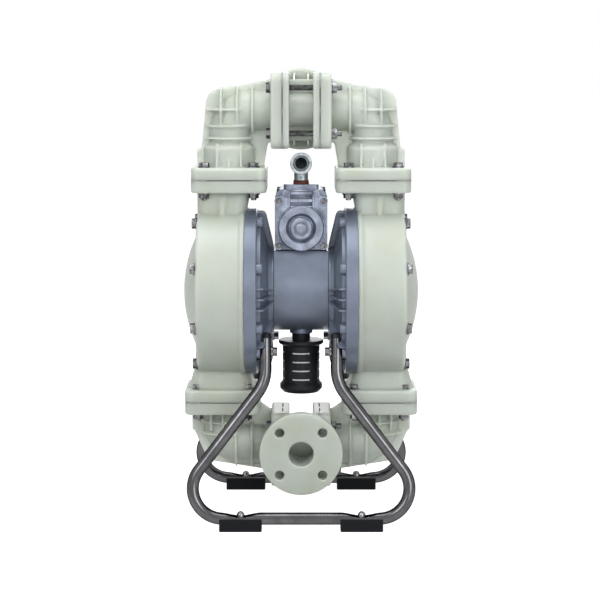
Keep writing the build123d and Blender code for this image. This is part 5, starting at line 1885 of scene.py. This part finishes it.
@dataclass
class Studio:
    """Camera, lamps, floor and background."""

    camera_place: Triple = (0.0, -3.74386, 0.90079)
    camera_pitch: float = 0.125
    lens: float = 111.86
    camera_shift: float = -1.1 / 600
    floor_size: float = 30.0
    floor_glow: float = 0.88

    def build(self) -> None:
        """Build everything in the studio."""
        self.camera()
        self.floor()
        self.world()
        for name, place, aim, size, power in (
                ("key", (-1.3, -2.5, 2.0), (0, 0, 0.5), 1.5, 42.0),
                ("fill", (1.4, -2.7, 1.2), (0, 0, 0.45), 1.5, 34.0),
                ("top", (0.0, -0.3, 2.7), (0, 0, 0.45), 1.6, 26.0),
                ("rear", (0.4, 2.6, 1.6), (0, 0, 0.45), 1.6, 30.0)):
            self.lamp(name, place, aim, size, power)

    def camera(self) -> None:
        """Stand the camera where the photograph was taken."""
        data = bpy.data.cameras.new("camera")
        data.lens = self.lens
        data.sensor_width = 36.0
        data.shift_x = self.camera_shift
        camera = add_object("camera", data, self.camera_place)
        camera.rotation_euler = (math.pi / 2 - self.camera_pitch, 0, 0)
        bpy.context.scene.camera = camera

    def lamp(self, name: str, place: Triple, aim: Triple, size: float, power: float) -> None:
        """Hang a square soft lamp that points at the pump.

        Args:
            name: Its name.
            place: Where it hangs.
            aim: The point that it is turned to.
            size: The length of its sides, in metres.
            power: Its power, in watts.
        """
        data = bpy.data.lights.new(name, "AREA")
        data.size = size
        data.energy = power
        lamp = add_object(name, data, place)
        lamp.rotation_euler = (Vector(aim) - Vector(place)).to_track_quat("-Z", "Y").to_euler()

    def seen_directly(self, bench: NodeBench) -> bpy.types.NodeSocket:
        """Return 1 for rays that show the background, and 0 for rays that light.

        Args:
            bench: The bench of the tree that asks.

        Returns:
            The socket with the answer.
        """
        path = bench.add("ShaderNodeLightPath")
        total = bench.add("ShaderNodeMath", {
            0: path.outputs["Is Camera Ray"], 1: path.outputs["Is Glossy Ray"]},
            operation="ADD")
        return bench.add("ShaderNodeMath", {
            0: total.outputs[0], 1: path.outputs["Is Transmission Ray"]},
            operation="ADD", use_clamp=True).outputs[0]

    def floor(self) -> None:
        """Lay a white floor that keeps the pump's shadow."""
        half = self.floor_size / 2
        mesh = bpy.data.meshes.new("floor")
        mesh.from_pydata([(-half, -half, 0), (half, -half, 0), (half, half, 0),
                          (-half, half, 0)], [], [(0, 1, 2, 3)])
        floor = add_object("floor", mesh)
        material = bpy.data.materials.new("pale floor")
        bench = NodeBench.clean(material)
        matte = bench.add("ShaderNodeBsdfDiffuse", {"Color": (0.5, 0.5, 0.5, 1.0)})
        share = bench.add("ShaderNodeMath", {0: self.seen_directly(bench), 1: self.floor_glow},
                          operation="MULTIPLY")
        glow = bench.add("ShaderNodeEmission", {"Strength": share.outputs[0]})
        both = bench.add("ShaderNodeAddShader", {0: matte.outputs[0], 1: glow.outputs[0]})
        bench.add("ShaderNodeOutputMaterial", {"Surface": both.outputs[0]})
        mesh.materials.append(material)

    def world(self) -> None:
        """Fill the room with soft light, in front of a white background."""
        world = bpy.data.worlds.new("room")
        bpy.context.scene.world = world
        bench = NodeBench.clean(world)
        room = bench.add("ShaderNodeBackground", {
            "Color": (1.0, 1.0, 0.97, 1.0), "Strength": 0.38})
        white = bench.add("ShaderNodeBackground", {"Color": (1, 1, 1, 1), "Strength": 1.0})
        mix = bench.add("ShaderNodeMixShader", {
            0: self.seen_directly(bench), 1: room.outputs[0], 2: white.outputs[0]})
        bench.add("ShaderNodeOutputWorld", {"Surface": mix.outputs[0]})


def dress_frame(frame: dict) -> None:
    """Give every carried-over CAD node the finish of its slot.
    """
    slots = {row["node"]: row["material_slot"] for row in frame["record"]["subparts"]}
    for name, node in frame["nodes"].items():
        FINISHES[slots[name]].dress(node)
        for polygon in node.data.polygons:
            polygon.use_smooth = False


def main() -> None:
    """Build the studio and dress the pump."""
    logging.basicConfig(level=logging.INFO, format="%(name)s: %(message)s")
    bpy.data.batch_remove(list(bpy.data.objects))
    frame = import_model()
    dress_frame(frame)
    Studio().build()
    for side in Side:
        LiquidChamber(side).build()
        AirChamber(side).build()
    for elbow in elbows():
        elbow.build()
    Tee(Stage.DISCHARGE, LAYOUT.discharge_z, 105.0, facing=1).build()
    Tee(Stage.SUCTION, LAYOUT.suction_z, 110.0, facing=-1).build()
    CentreBody().build()
    valve, stand = AirValve(), Stand()
    valve.build()
    AirInlet().build()
    Muffler().build()
    stand.build()
    Fasteners().build(stand, valve)
    SoftParts().build()
    bpy.context.scene.view_settings.view_transform = "Standard"


if __name__ == "__main__":
    main()
